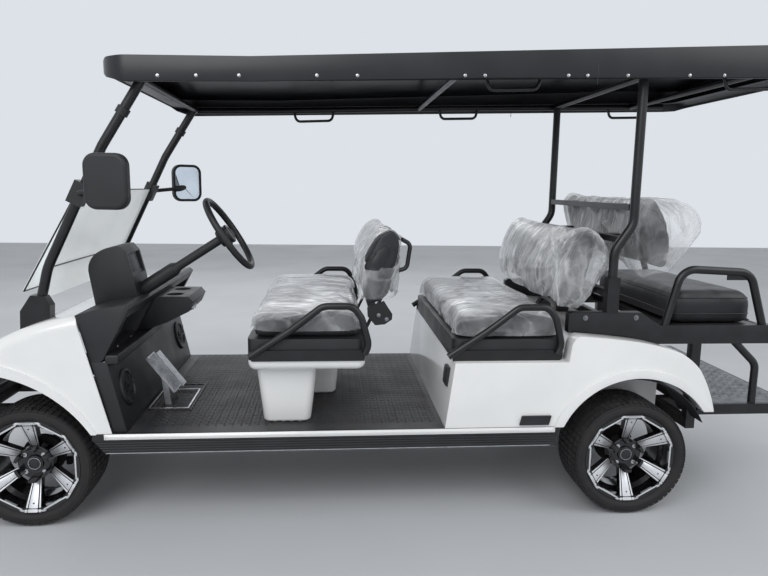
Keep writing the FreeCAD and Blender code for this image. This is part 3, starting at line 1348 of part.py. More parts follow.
BENCHES = [
    ("front", "bench_x", "pan_z", "bench_width", "0"),
    ("second", "second_x", "deck_z", "bench_width - 24", "34"),
]
for label, x, z, width, reach in BENCHES:
    top = f"{z} + pan_height"
    node(f"{label}_seat_pan", make_pan(f"{label}_seat_pan", x, z, width))
    node(f"{label}_cushion", soft_block(
        f"{label}_cushion", "bench_depth - 2 * cushion_inset", f"{width} - 2 * cushion_inset",
        "cushion_height", f"{x} + cushion_inset", f"{top} + seat_gap", "cushion_inset * 4", "cushion_height * 0.3"))
    node(f"{label}_backrest", plate(
        f"{label}_backrest", "XZ", backrest_outline(x, f"{label}_back_z", 1), "backrest_width"))
    node(f"{label}_armrests", make_armrests(f"{label}_armrests", x, z, width, reach))
node("front_bench_base", make_bench_base())
node("front_backrest_frame", make_backrest_frame())


# Rear struts, the frame between the backrests, and the rear seat

def make_rear_struts():
    """A strut each side: up from the deck, stepped back behind the second backrest, and on to the roof."""
    strut = tube("rear_strut", [
        ("rear_post_x", "rear_strut_y", "beam_head_z"),
        ("rear_post_x", "rear_strut_y", "deck_z + 450"),
        ("rear_head_x", "rear_strut_y", "deck_z + 560"),
        ("rear_head_x", "rear_strut_y", "roof_tube_rear_z"),
    ], "strut_radius", "90")
    sleeve = box("strut_sleeve", "50", "44", "146", "rear_post_x - 25", "rear_strut_y - 22", "beam_head_z")
    side = fuse("rear_strut_left", strut, sleeve)
    return group("rear_struts", side, mirrored(side))


def make_between_frame():
    """Cross bars between the rear struts, with brackets to the backs of both backrests."""
    reach = "rear_strut_y - 22"
    levels = {
        "low": ("second_back_z + 20", "second_back_z + 50", "rear_post_x"),
        "middle": ("second_back_z + 0.8 * backrest_rise", "second_back_z + 0.8 * backrest_rise + 26",
                   "rear_post_x - 34"),
        "high": ("rear_back_z + 0.8 * backrest_rise", "rear_back_z + 0.8 * backrest_rise + 26", "rear_head_x"),
    }
    bars = [
        box("cross_" + name, "30", f"2 * ({reach})", f"{high} - ({low})", f"{x} - 15", f"-({reach})", low)
        for name, (low, high, x) in levels.items()
    ]
    brackets = [
        ("second_low", "low", "second_x", "second_back_z", 1),
        ("second_middle", "middle", "second_x", "second_back_z", 1),
        ("rear_low", "middle", "rear_back_x", "rear_back_z", -1),
        ("rear_high", "high", "rear_back_x", "rear_back_z", -1),
    ]
    plates = []
    for name, level, back_x, back_z, facing in brackets:
        low, high, bar_x = levels[level]
        flat = number(back_share(low, back_z)) > 1
        share_low = "1" if flat else back_share(low, back_z)
        share_high = "1" if flat else back_share(high, back_z)
        corners = [
            (f"{bar_x} - {facing} * 15", low),
            (f"{back_line(back_x, facing, share_low)} - {facing} * seat_gap", low),
            (f"{back_line(back_x, facing, share_high)} - {facing} * seat_gap", high),
            (f"{bar_x} - {facing} * 15", high),
        ]
        plates.append(plate(name + "_bracket", "XZ", corners, "60", "backrest_width * 0.28"))
    return fuse("backrest_frame", *bars, *plates, *[mirrored(piece) for piece in plates])


def make_seat_frame():
    """Side beams on feet and posts, cross members under the seat, and the hinge rod at the rear."""
    inner = "beam_y - beam_width / 2"
    beam = plate("side_beam", "XZ", [
        ("beam_front_x", "beam_z + 52"),
        ("beam_front_x", "beam_head_z - 8"),
        ("beam_front_x - 12", "beam_head_z"),
        ("beam_front_x - 312", "beam_head_z"),
        ("beam_front_x - 400", "beam_top_z"),
        ("beam_rear_x", "beam_top_z"),
        ("beam_rear_x", "beam_z"),
        ("beam_front_x - 372", "beam_z"),
        ("beam_front_x - 250", "beam_z + 30"),
    ], "beam_width", "beam_y")
    feet = [
        box(name, "60", "beam_width", "beam_rise + 60", x, inner, "deck_z")
        for name, x in (("beam_foot_front", "beam_front_x - 130"), ("beam_foot_rear", "beam_front_x - 380"))
    ]
    post = box("beam_post", "member_size", "beam_width", "beam_z - frame_top", "footrest_x + 5", inner, "frame_top")
    under = "beam_top_z - 26"
    bars = [
        box(name, "30", f"2 * ({inner})", "36", x, f"-({inner})", f"{under} - 36")
        for name, x in (("seat_bar_front", "flip_front_x - 60"), ("seat_bar_rear", "flip_rear_x + 26"),
                        ("seat_bar_head", "beam_front_x - 330"))
    ]
    rod = cylinder("hinge_rod", "8", f"2 * ({inner})", "flip_rear_x - 16", f"-({inner})",
                   f"{under} + flip_plate / 2", "Y")
    feet += [mirrored(foot) for foot in feet]
    return fuse("rear_seat_frame", beam, mirrored(beam), *feet, post, mirrored(post), *bars, rod)


def make_seat_plate():
    """The hinged plate under the rear cushion, with three knuckles round the hinge rod."""
    under = "beam_top_z - 26"
    middle_z = f"{under} + flip_plate / 2"
    sheet = box("seat_sheet", "flip_length", "flip_width", "flip_plate", "flip_rear_x", "-flip_width / 2", under)
    pieces = [sheet]
    holes = []
    for index, share in enumerate((-0.36, 0, 0.36)):
        y = f"flip_width * {share} - 30"
        pieces.append(cylinder(f"knuckle_barrel_{index}", "13", "60", "flip_rear_x - 16", y, middle_z, "Y"))
        pieces.append(box(f"knuckle_tab_{index}", "16", "60", "6", "flip_rear_x - 12", y, f"{middle_z} - 3"))
    holes.append(cylinder("knuckle_bore", "8 + running_gap", "flip_width + 40", "flip_rear_x - 16",
                          "-flip_width / 2 - 20", middle_z, "Y"))
    return cut("rear_seat_plate", fuse("seat_plate_form", *pieces), *holes)


def make_grab_bars():
    """A bent tube on each side beam, with a small plate under its top."""
    route = [
        ("rear_axle_x - 163", "beam_y", "beam_top_z - 2"),
        ("rear_axle_x - 222", "beam_y", "beam_top_z + grab_rise"),
        ("rear_axle_x - 528", "beam_y", "beam_top_z + grab_rise * 0.94"),
        ("rear_axle_x - 602", "beam_y", "beam_top_z - 2"),
    ]
    loop = tube("grab_tube", route, "grab_radius", "74")
    tab = box("grab_tab", "96", "6", "30", "rear_axle_x - 520", "beam_y - 3", "beam_top_z + grab_rise * 0.97 - 40")
    side = cut("grab_bar_left", fuse("grab_bar_form", loop, tab), doc.side_beam)
    return group("rear_grab_bars", side, mirrored(side))


def make_footrest():
    """The footrest: a frame with a tread plate, spacers on the chassis rails, and a stay up to each beam."""
    length = "footrest_x + half_length"
    frame = box("footrest_outer", length, "2 * footrest_half", "footrest_frame", "-half_length",
                "-footrest_half", "footrest_z")
    hollow = box("footrest_inner", f"{length} - 80", "2 * footrest_half - 80", "footrest_frame",
                 "-half_length + 40", "-footrest_half + 40", "footrest_z - tread_plate")
    spacer = box("footrest_spacer", "120", "rail_width", "footrest_rise + floor_thickness + footrest_frame / 2",
                 "-half_length + 152", "rail_y - rail_width / 2", "frame_top")
    top = "footrest_z + footrest_frame"
    stay = tube("stay", [
        ("rear_axle_x - 480", "beam_y", "beam_z + 8"),
        ("rear_axle_x - 590", "beam_y", "beam_z - 96"),
        ("rear_axle_x - 590", "beam_y", top),
    ], "stay_radius", "60")
    left_stay = cut("left_stay", stay, doc.side_beam)
    solid = cut("footrest_tray", frame, hollow)
    return fuse("footrest", solid, spacer, mirrored(spacer), left_stay, mirrored(left_stay))


def make_tail_lights():
    """A small lamp on the end of each side beam."""
    lamp = box("tail_light_left", "16", "beam_width - 4", "beam_height - 16", "beam_rear_x - 16",
               "beam_y - beam_width / 2 + 2", "beam_z + 8")
    return group("tail_lights", lamp, mirrored(lamp))


node("rear_struts", make_rear_struts())
node("backrest_frame", make_between_frame())
node("rear_backrest", plate(
    "rear_backrest", "XZ",
    backrest_outline("rear_back_x", "rear_back_z", -1), "rear_back_width"))
node("rear_seat_frame", make_seat_frame())
node("rear_seat_plate", make_seat_plate())
node("rear_cushion", soft_block(
    "rear_cushion", "flip_length - 6", "flip_width", "flip_height", "flip_rear_x + 3",
    "beam_top_z - 26 + flip_plate + seat_gap", "cushion_inset * 4", "flip_height * 0.4"))
node("rear_grab_bars", make_grab_bars())
node("footrest", make_footrest())
node("tail_lights", make_tail_lights())


# Roof

# Along the roof: place, lowest line of its edge, depth of the edge, how far the edge hangs below the flange
ROOF_STATIONS = [
    ("roof_front_x", "roof_low + 41", "roof_tip", "4"),
    ("roof_front_x - 25", "roof_low + 20", "roof_edge * 0.73", "16"),
    ("roof_front_x - 90", "roof_low", "roof_edge", "roof_skirt"),
    ("roof_front_x - 555", "roof_low + roof_climb * 0.14", "roof_edge - 3", "roof_skirt"),
    ("rear_axle_x + 628", "roof_low + roof_climb * 0.62", "roof_edge", "roof_skirt"),
    ("rear_axle_x - 430", "roof_low + roof_climb", "roof_edge_rear", "roof_skirt"),
    ("roof_rear_x + 40", "roof_low + roof_climb * 1.12", "roof_edge_rear * 0.94", "roof_skirt"),
    ("roof_rear_x", "roof_low + roof_climb * 1.3", "roof_tail", "8"),
]


def roof_under(x):
    """Height of the roof's flange at this place along it."""
    for ahead, behind in zip(ROOF_STATIONS, ROOF_STATIONS[1:]):
        if number(x) >= number(behind[0]) - 0.01:
            break
    share = f"(({x}) - ({ahead[0]})) / (({behind[0]}) - ({ahead[0]}))"
    return f"({ahead[1]} + {ahead[3]} + (({behind[1]} + {behind[3]}) - ({ahead[1]} + {ahead[3]})) * {share})"


def roof_loft(name, inset, foot, head, crowned=True):
    """A block through the roof's stations, drawn in at the sides, with its foot and head as formulas."""
    sections = []
    half = f"(side_y - {inset})"
    for index, (x, low, depth, skirt) in enumerate(ROOF_STATIONS):
        levels = {"LOW": f"({low})", "TOP": f"({low} + {depth})", "FLANGE": f"({low} + {skirt})"}
        bottom, top = foot, head
        for word, level in levels.items():
            bottom = bottom.replace(word, level)
            top = top.replace(word, level)
        crown = (f"({half}^2 + roof_crown^2) / (2 * roof_crown)",) if crowned else ()
        sections.append(sketch(None, f"{name}_section_{index}", "YZ", [
            (f"-{half}", bottom),
            (half, bottom),
            (half, top, *crown),
            (f"-{half}", top),
        ], x))
    loft = doc.addObject("Part::Loft", name)
    loft.Sections = sections
    loft.Solid = True
    loft.Ruled = True
    return loft


def roof_plan(name, inset, corner):
    """The roof from above, drawn in by inset."""
    body = plate(name, "XY", rectangle(f"roof_rear_x + {inset}", f"-(side_y - {inset})",
                                       f"roof_front_x - {inset}", f"side_y - {inset}"),
                 "roof_climb * 8", "roof_low")
    round_edges(body, corner, upright)
    return body


def make_roof():
    """The roof: a hollow moulding with a crown and a skirt, open underneath inside its flange."""
    skin = common("roof_outer", roof_loft("roof_skin", "0", "LOW", "TOP"), roof_plan("roof_plan", "0", "roof_corner"))
    hollow = common("roof_inner", roof_loft("roof_cavity", "shell_wall", "FLANGE + shell_wall", "TOP - shell_wall"),
                    roof_plan("roof_inner_plan", "shell_wall", "roof_corner - shell_wall"))
    under = common("roof_recess", roof_loft("roof_below", "1", "LOW - 20", "FLANGE", False),
                   roof_plan("roof_recess_plan", "2 * shell_wall", "roof_corner - 2 * shell_wall"))
    slot = common("roof_opening", roof_loft("roof_slot", "1", "LOW - 20", "FLANGE + shell_wall * 1.2", False),
                  roof_plan("roof_opening_plan", "roof_flange", "roof_corner / 2"))
    return cut("roof", skin, hollow, under, slot)


CROSS_TUBES = [
    ("front_cross", "roof_front_x - 130"),
    ("second_cross", "rear_axle_x + 775"),
    ("rear_cross", "rear_axle_x + 10"),
    ("tail_cross", "rear_axle_x - 425"),
]


def make_roof_frame():
    """Two side tubes that follow the roof's flange, and the cross tubes between them."""
    stations = [station[0] for station in ROOF_STATIONS[2:6]] + ["roof_rear_x + 125"]
    rail = tube("roof_rail", [
        (x, "roof_rail_y", f"{roof_under(x)} - roof_rail_radius") for x in stations
    ], "roof_rail_radius", "20")
    crosses = [
        cylinder(name, "cross_tube_radius", "2 * roof_rail_y", x, "-roof_rail_y",
                 f"{roof_under(x)} - roof_rail_radius", "Y")
        for name, x in CROSS_TUBES
    ]
    frame = fuse("roof_frame", rail, mirrored(rail), *crosses)
    handles = []
    for index, (middle, both) in enumerate((
        ("front_axle_x - 1091", False),
        ("rear_axle_x + 555", True),
        ("rear_axle_x - 405", True),
    )):
        front = f"{middle} + handle_length / 2"
        rear = f"{middle} - handle_length / 2"
        handle = tube(f"handle_{index}", [
            (front, "-roof_rail_y", f"{roof_under(front)} - roof_rail_radius"),
            (f"{front} - 16", "-roof_rail_y", f"{roof_under(front)} - roof_rail_radius - handle_drop"),
            (f"{rear} + 16", "-roof_rail_y", f"{roof_under(rear)} - roof_rail_radius - handle_drop"),
            (rear, "-roof_rail_y", f"{roof_under(rear)} - roof_rail_radius"),
        ], "handle_radius", "26")
        handles.append(handle)
        if both:
            handles.append(mirrored(handle))
    return frame, cut("roof_handles", group("handle_loops", *handles), frame), crosses


# Front struts, windscreen and mirrors

STRUT_ROUTE = [
    ("strut_foot_x", "strut_foot_z"),
    ("strut_foot_x - strut_reach * 0.106", "strut_foot_z + strut_climb * 0.201"),
    ("strut_foot_x - strut_reach * 0.637", "strut_foot_z + strut_climb * 0.724"),
    ("strut_foot_x - strut_reach", "strut_foot_z + strut_climb"),
]


def beside(start, end, share, offset):
    """A point this share of the way along a line and this far to the side of it, seen from the right."""
    run_x = f"(({end[0]}) - ({start[0]}))"
    run_z = f"(({end[1]}) - ({start[1]}))"
    length = f"sqrt({run_x} ^ 2 + {run_z} ^ 2)"
    return (
        f"({start[0]}) + {share} * {run_x} - ({offset}) * {run_z} / {length}",
        f"({start[1]}) + {share} * {run_z} + ({offset}) * {run_x} / {length}",
    )


def strut_point(run, share):
    """A point on the strut's straight run of this number."""
    x, z = beside(STRUT_ROUTE[run], STRUT_ROUTE[run + 1], share, "0")
    return (x, "strut_y", z)


def make_front_struts(cross):
    """A bent strut each side, from a bracket on the cowl to the front cross tube."""
    strut = tube("front_strut", [(x, "strut_y", z) for x, z in STRUT_ROUTE], "strut_radius", "strut_bend")
    bracket = plate("strut_bracket", "XZ", [
        ("strut_foot_x - 52", "strut_foot_z - 40"),
        ("strut_foot_x + 62", "strut_foot_z - 60"),
        ("strut_foot_x + 58", "strut_foot_z + 12"),
        ("strut_foot_x + 16", "strut_foot_z + 74"),
        ("strut_foot_x - 36", "strut_foot_z + 70"),
        ("strut_foot_x - 56", "strut_foot_z + 34"),
    ], "2 * strut_radius + 10", "strut_y + 5")
    side = fuse("front_strut_form", strut, bracket)
    return strut, cut("front_struts", group("front_strut_pair", side, mirrored(side)), doc.cowl_outer_rounded,
                      cross)


def screen_sheet(name, route, half):
    """A flat or bent sheet along a route seen from the side."""
    front = []
    rear = []
    for start, end in zip(route, route[1:]):
        front.append(beside(start, end, "0", "-glazing / 2"))
        rear.append(beside(start, end, "0", "glazing / 2"))
    front.append(beside(route[-2], route[-1], "1", "-glazing / 2"))
    rear.append(beside(route[-2], route[-1], "1", "glazing / 2"))
    return plate(name, "XZ", front + rear[::-1], f"2 * ({half})")


def make_windscreen():
    """Two panes between the struts, the upper one folded down ahead of the lower, and the fold's two blocks."""
    low = strut_point(0, "0.3")
    bend = strut_point(0, "1")
    high = strut_point(1, "0.644")
    half = "strut_y - strut_radius - seat_gap"
    lower_route = [(low[0], low[2]), (bend[0], bend[2]), (high[0], high[2])]
    upper_route = [
        ("front_axle_x + 33", "strut_foot_z + 83"),
        ("front_axle_x - 166", "strut_foot_z + 431"),
    ]
    lower = screen_sheet("windscreen_lower", lower_route, half)
    upper = screen_sheet("windscreen_upper", upper_route, "strut_y - 29")
    block = plate("fold_block", "XZ", [
        beside(lower_route[1], lower_route[2], "0.74", "-glazing / 2"),
        beside(*upper_route, "0.91", "glazing / 2"),
        beside(*upper_route, "0.99", "glazing / 2"),
        beside(lower_route[1], lower_route[2], "0.83", "-glazing / 2"),
    ], "44", "strut_y - 56")
    return lower, upper, block


def make_clips(strut, block):
    """The fold's blocks, with a clip at the foot of the lower pane and a clamp high on each strut."""
    foot = plate("foot_clip", "XZ", [
        beside(STRUT_ROUTE[0], STRUT_ROUTE[1], "0.42", "-glazing / 2"),
        beside(STRUT_ROUTE[0], STRUT_ROUTE[1], "0.42", "-glazing / 2 - 12"),
        beside(STRUT_ROUTE[0], STRUT_ROUTE[1], "0.6", "-glazing / 2 - 12"),
        beside(STRUT_ROUTE[0], STRUT_ROUTE[1], "0.6", "-glazing / 2"),
    ], "36", "strut_y - strut_radius - 8")
    clamp = tube("strut_clamp", [strut_point(2, "0.48"), strut_point(2, "0.58")], "strut_radius + 6", "1")
    side = cut("clips_left", group("clip_forms", foot, clamp), strut)
    whole = group("clip_side", side, block)
    return group("windscreen_clips", whole, mirrored(whole))


def make_mirror_head(name, turn):
    """A mirror's rounded housing with a sunken face, turned about its upright."""
    half_width = "mirror_width / 2"
    half_height = "mirror_height / 2"
    housing = plate(name + "_housing", "YZ",
                    rectangle(f"-{half_width}", f"-{half_height}", half_width, half_height), "mirror_depth")
    round_edges(housing, "46", lambda edge: edge.BoundBox.XLength > 1 and edge.BoundBox.YLength < 1)
    round_edges(housing, "14", lambda edge: edge.BoundBox.XMin > number("mirror_depth") / 2 - 0.01)
    sunk = plate(name + "_sunk", "YZ", rectangle(f"-{half_width} + 8", f"-{half_height} + 8",
                                                 f"{half_width} - 8", f"{half_height} - 8"),
                 "6", "-mirror_depth / 2")
    round_edges(sunk, "38", lambda edge: edge.BoundBox.XLength > 1 and edge.BoundBox.YLength < 1)
    head = cut(name + "_head", housing, sunk)
    head.Placement = Placement(Vector(), Rotation(Vector(0, 0, 1), number(turn)))
    bind(head, {".Placement.Rotation.Angle": turn})
    place(head, "front_axle_x - 375", "mirror_y", "mirror_z")
    return head


def make_mirrors(strut, pane):
    """A mirror each side on an arm from a block on the strut, each turned as it was left."""
    foot = strut_point(1, "0.61")
    arm = tube("mirror_arm", [
        foot,
        (f"{foot[0]} - 20", "strut_y + 70", f"{foot[2]} + 6"),
        ("front_axle_x - 345", "mirror_y - 40", "mirror_z - 30"),
        ("front_axle_x - 375", "mirror_y", "mirror_z - 20"),
    ], "10", "30")
    clamp = plate("mirror_clamp", "XZ", [
        beside(STRUT_ROUTE[1], STRUT_ROUTE[2], "0.53", "-strut_radius - 9"),
        beside(STRUT_ROUTE[1], STRUT_ROUTE[2], "0.70", "-strut_radius - 9"),
        beside(STRUT_ROUTE[1], STRUT_ROUTE[2], "0.70", "strut_radius + 7"),
        beside(STRUT_ROUTE[1], STRUT_ROUTE[2], "0.53", "strut_radius + 7"),
    ][::-1], "strut_radius * 2 + 20", "strut_y + 12")
    sides = []
    for name, turn in (("mirror_left", "mirror_turn_left"), ("mirror_right", "mirror_turn_right")):
        head = make_mirror_head(name, turn)
        sides.append(cut(name, fuse(name + "_form", arm, clamp, head), strut, pane))
    return group("mirrors", sides[0], mirrored(sides[1]))


roof_frame, roof_handles, crosses = make_roof_frame()
node("roof", make_roof())
node("roof_frame", roof_frame)
node("roof_handles", roof_handles)
front_strut, front_struts = make_front_struts(crosses[0])
node("front_struts", front_struts)
rear_struts = NODES.pop("rear_struts")
rear_struts.Label = "rear_strut_pair"
node("rear_struts", cut("rear_struts_cut", rear_struts, crosses[2]))
lower_pane, upper_pane, fold_block = make_windscreen()
node("windscreen_lower", lower_pane)
node("windscreen_upper", upper_pane)
node("windscreen_clips", make_clips(front_strut, fold_block))
node("mirrors", make_mirrors(front_strut, lower_pane))


def check_and_export():
    """Recompute, look at every object and every sub-part, and write one STEP file a sub-part."""
    doc.recompute()
    faults = [piece.Name for piece in doc.Objects if {"Invalid", "Error"} & set(piece.State)]
    for name, piece in NODES.items():
        if piece.Shape.isNull() or not piece.Shape.isValid() or not piece.Shape.Solids:
            faults.append(name)
    if faults:
        raise RuntimeError("faulty: " + ", ".join(faults))
    os.makedirs("parts", exist_ok=True)
    for name, piece in NODES.items():
        piece.Shape.exportStep(f"parts/{name}.step")
    print(len(NODES), "sub-parts")


check_and_export()
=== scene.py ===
import json
import math

import bmesh
import bpy
from mathutils import Matrix, Vector, noise


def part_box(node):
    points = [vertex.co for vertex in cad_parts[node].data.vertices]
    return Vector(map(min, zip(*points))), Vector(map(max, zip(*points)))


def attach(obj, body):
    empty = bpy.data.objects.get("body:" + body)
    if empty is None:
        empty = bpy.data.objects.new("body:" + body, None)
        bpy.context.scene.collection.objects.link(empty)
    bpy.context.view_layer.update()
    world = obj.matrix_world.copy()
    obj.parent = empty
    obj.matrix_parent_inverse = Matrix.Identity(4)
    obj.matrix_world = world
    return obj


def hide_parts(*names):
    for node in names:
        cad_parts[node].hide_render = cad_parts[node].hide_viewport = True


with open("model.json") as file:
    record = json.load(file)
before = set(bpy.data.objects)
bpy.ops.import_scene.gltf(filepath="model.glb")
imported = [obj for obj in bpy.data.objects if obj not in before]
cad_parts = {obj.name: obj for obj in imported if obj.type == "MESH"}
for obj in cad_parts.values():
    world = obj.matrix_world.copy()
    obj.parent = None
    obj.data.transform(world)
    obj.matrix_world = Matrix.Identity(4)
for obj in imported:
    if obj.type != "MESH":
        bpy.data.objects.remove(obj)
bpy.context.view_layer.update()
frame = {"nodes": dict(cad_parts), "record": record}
NODES = frame["nodes"]


# Camera: the photograph's place and lens

PICTURE_WIDTH = 768
SENSOR_WIDTH = 36
FOCAL_PIXELS = 642.48
CAMERA_PLACE = Vector((0.1852, 3.0737, 1.3599))
YAW, PITCH, ROLL = -0.0845, -0.1561, 0.0145


def aim_camera():
    """Set the camera up from its place, its three angles and its lens."""
    forward = Vector((math.sin(YAW) * math.cos(PITCH), -math.cos(YAW) * math.cos(PITCH), math.sin(PITCH)))
    level = Vector((-math.cos(YAW), -math.sin(YAW), 0))
    upright = level.cross(forward)
    right = math.cos(ROLL) * level + math.sin(ROLL) * upright
    up = math.cos(ROLL) * upright - math.sin(ROLL) * level
    bpy.ops.object.camera_add()
    camera = bpy.context.object
    camera.data.sensor_width = SENSOR_WIDTH
    camera.data.lens = SENSOR_WIDTH * FOCAL_PIXELS / PICTURE_WIDTH
    turn = Matrix((right, up, -forward)).transposed()
    camera.matrix_world = Matrix.Translation(CAMERA_PLACE) @ turn.to_4x4()
    bpy.context.scene.camera = camera


aim_camera()


# Materials

def linear(hex_colour, alpha=1.0):
    """An sRGB hex value as linear colour."""
    channels = [int(hex_colour[start:start + 2], 16) / 255 for start in (1, 3, 5)]
    return [c / 12.92 if c <= 0.04045 else ((c + 0.055) / 1.055) ** 2.4 for c in channels] + [alpha]


def add_node(tree, kind, links=None, **settings):
    """Add a node, set its properties and feed its sockets with numbers or with other sockets."""
    node = tree.nodes.new(kind)
    for name, value in settings.items():
        setattr(node, name, value)
    for name, value in (links or {}).items():
        if isinstance(value, bpy.types.NodeSocket):
            tree.links.new(value, node.inputs[name])
        else:
            node.inputs[name].default_value = value
    return node


def blank_material(name, **sockets):
    """A material with one Principled shader, and the shader."""
    material = bpy.data.materials.new(name)
    material.use_nodes = True
    shader = material.node_tree.nodes["Principled BSDF"]
    for socket, value in sockets.items():
        shader.inputs[socket.replace("_", " ")].default_value = value
    return material, material.node_tree, shader


def grained(name, colour, dusty, roughness, grain_mm, depth_mm, patch_mm=90, **sockets):
    """A moulded or coated finish: a fine even grain, and soft patches where handling dulled or dusted it."""
    material, tree, shader = blank_material(name, **sockets)
    place = add_node(tree, "ShaderNodeTexCoord").outputs["Object"]
    patches = add_node(tree, "ShaderNodeTexNoise", {"Vector": place, "Scale": 1000 / patch_mm, "Detail": 5.0})
    patch = add_node(tree, "ShaderNodeMapRange", {
        "Value": patches.outputs["Fac"], "From Min": 0.4, "From Max": 0.75})
    tint = add_node(tree, "ShaderNodeMix", {"Factor": patch.outputs[0]}, data_type="RGBA")
    tint.inputs["A"].default_value = linear(colour)
    tint.inputs["B"].default_value = linear(dusty)
    dull = add_node(tree, "ShaderNodeMapRange", {
        "Value": patch.outputs[0], "To Min": roughness, "To Max": min(1.0, roughness * 1.25 + 0.02)})
    grain = add_node(tree, "ShaderNodeTexNoise", {"Vector": place, "Scale": 1000 / grain_mm, "Detail": 2.0})
    bump = add_node(tree, "ShaderNodeBump", {
        "Height": grain.outputs["Fac"], "Distance": depth_mm / 1000, "Strength": 1.0})
    tree.links.new(tint.outputs["Result"], shader.inputs["Base Color"])
    tree.links.new(dull.outputs[0], shader.inputs["Roughness"])
    tree.links.new(bump.outputs["Normal"], shader.inputs["Normal"])
    return material


# Grains and patches are in millimetres. The grains of metals are drawn coarser than the real ones, to show.

# Vacuum-formed ABS under a clear gloss coat: clean white, sharp highlights, a faint long wave.
white_shell = grained("white_gloss_abs", "#F0F1F0", "#E6E7E6", 0.16, 38, 0.05, 400,
                      Coat_Weight=0.6, Coat_Roughness=0.05)
# Injection-moulded black ABS: a fine leather grain that breaks the highlight into a soft sheen.
black_abs = grained("black_grained_abs", "#1B1C1E", "#26272A", 0.46, 1.6, 0.12, 120)
# Smooth moulded black ABS of the roof: low gloss with long soft reflections.
roof_abs = grained("black_roof_abs", "#141518", "#1E2023", 0.3, 9, 0.04, 260)
# Powder-coated steel tube: satin black with a slight orange peel.
black_tube = grained("black_powder_coat", "#121214", "#1C1C1F", 0.32, 3.5, 0.05, 70)
# Chassis paint: black, dusty where the road reaches it.
chassis_paint = grained("dusty_chassis_paint", "#17181A", "#3A3733", 0.55, 6, 0.08, 60)
# Plain cast iron and steel under the floor: dark, rough, with a sandy skin.
cast_iron = grained("sand_cast_iron", "#2B2B2C", "#3B3632", 0.6, 2.2, 0.25, 40, Metallic=0.6)
# Moulded polypropylene battery case: dull dark grey.
battery_case = grained("grey_polypropylene", "#2A2B2E", "#37383A", 0.55, 2.5, 0.1)
# PVC-coated seat cloth: soft black with a fine leather grain.
seat_vinyl = grained("black_seat_vinyl", "#17181B", "#222428", 0.42, 2.4, 0.22, 80, Sheen_Weight=0.08)
# Natural rubber of the tyres: near black, greyed with road dust.
tyre_rubber = grained("tyre_rubber", "#18181A", "#2E2C29", 0.72, 3, 0.15, 50)
# Rubber floor mat: dark grey with dust between its studs.
floor_rubber = grained("floor_mat_rubber", "#2C2D30", "#3F3E3C", 0.5, 2, 0.1, 110)
# Polished steel of nuts and screws: bright with a soft wear haze.
bright_steel = grained("polished_steel", "#C9CACC", "#A6A7AA", 0.18, 0.9, 0.02, 20, Metallic=1.0)
# Face-machined aluminium: bright silver with the tool's fine rings.
machined_aluminium = grained("machined_aluminium", "#E8E9EB", "#D8D9DC", 0.34, 1.1, 0.03, 30, Metallic=0.8)
# Gloss black enamel in the pockets of the wheels.
wheel_enamel = grained("gloss_black_enamel", "#0D0D0F", "#17171A", 0.14, 5, 0.02, 40, Coat_Weight=0.5)
# Rolled aluminium chequer plate: dull silver-grey with scuffs.
chequer_plate = grained("rolled_aluminium", "#7B7D80", "#5E5F61", 0.36, 1.6, 0.06, 45, Metallic=0.85)
# Brushed stainless pedal.
pedal_steel = grained("brushed_stainless", "#B4B5B7", "#97989B", 0.3, 0.8, 0.03, 25, Metallic=1.0)
# Red acrylic lamp lens.
red_lens = grained("red_acrylic", "#7A0A0C", "#6A090B", 0.12, 12, 0.02, Coat_Weight=0.6)
# Clear polycarbonate over a bright lamp bowl.
lamp_lens = grained("clear_polycarbonate", "#D6DADF", "#C8CDD3", 0.06, 20, 0.02, Coat_Weight=0.8, Alpha=0.55)
# Acrylic windscreen, still under its whitish protective film. Its faint white glow is painted light, for the
# sunlight that the film scatters.
screen_acrylic = grained("filmed_acrylic_painted_glow", "#F6F8F8", "#E9EDEE", 0.2, 60, 0.3, 200, Alpha=0.84,
                         Emission_Color=linear("#EEF2F3"), Emission_Strength=0.22)
# Silvered glass of the mirrors: it shows the sky.
mirror_glass = grained("silvered_glass", "#DDE6EE", "#CFD8E0", 0.04, 40, 0.005, Metallic=1.0)


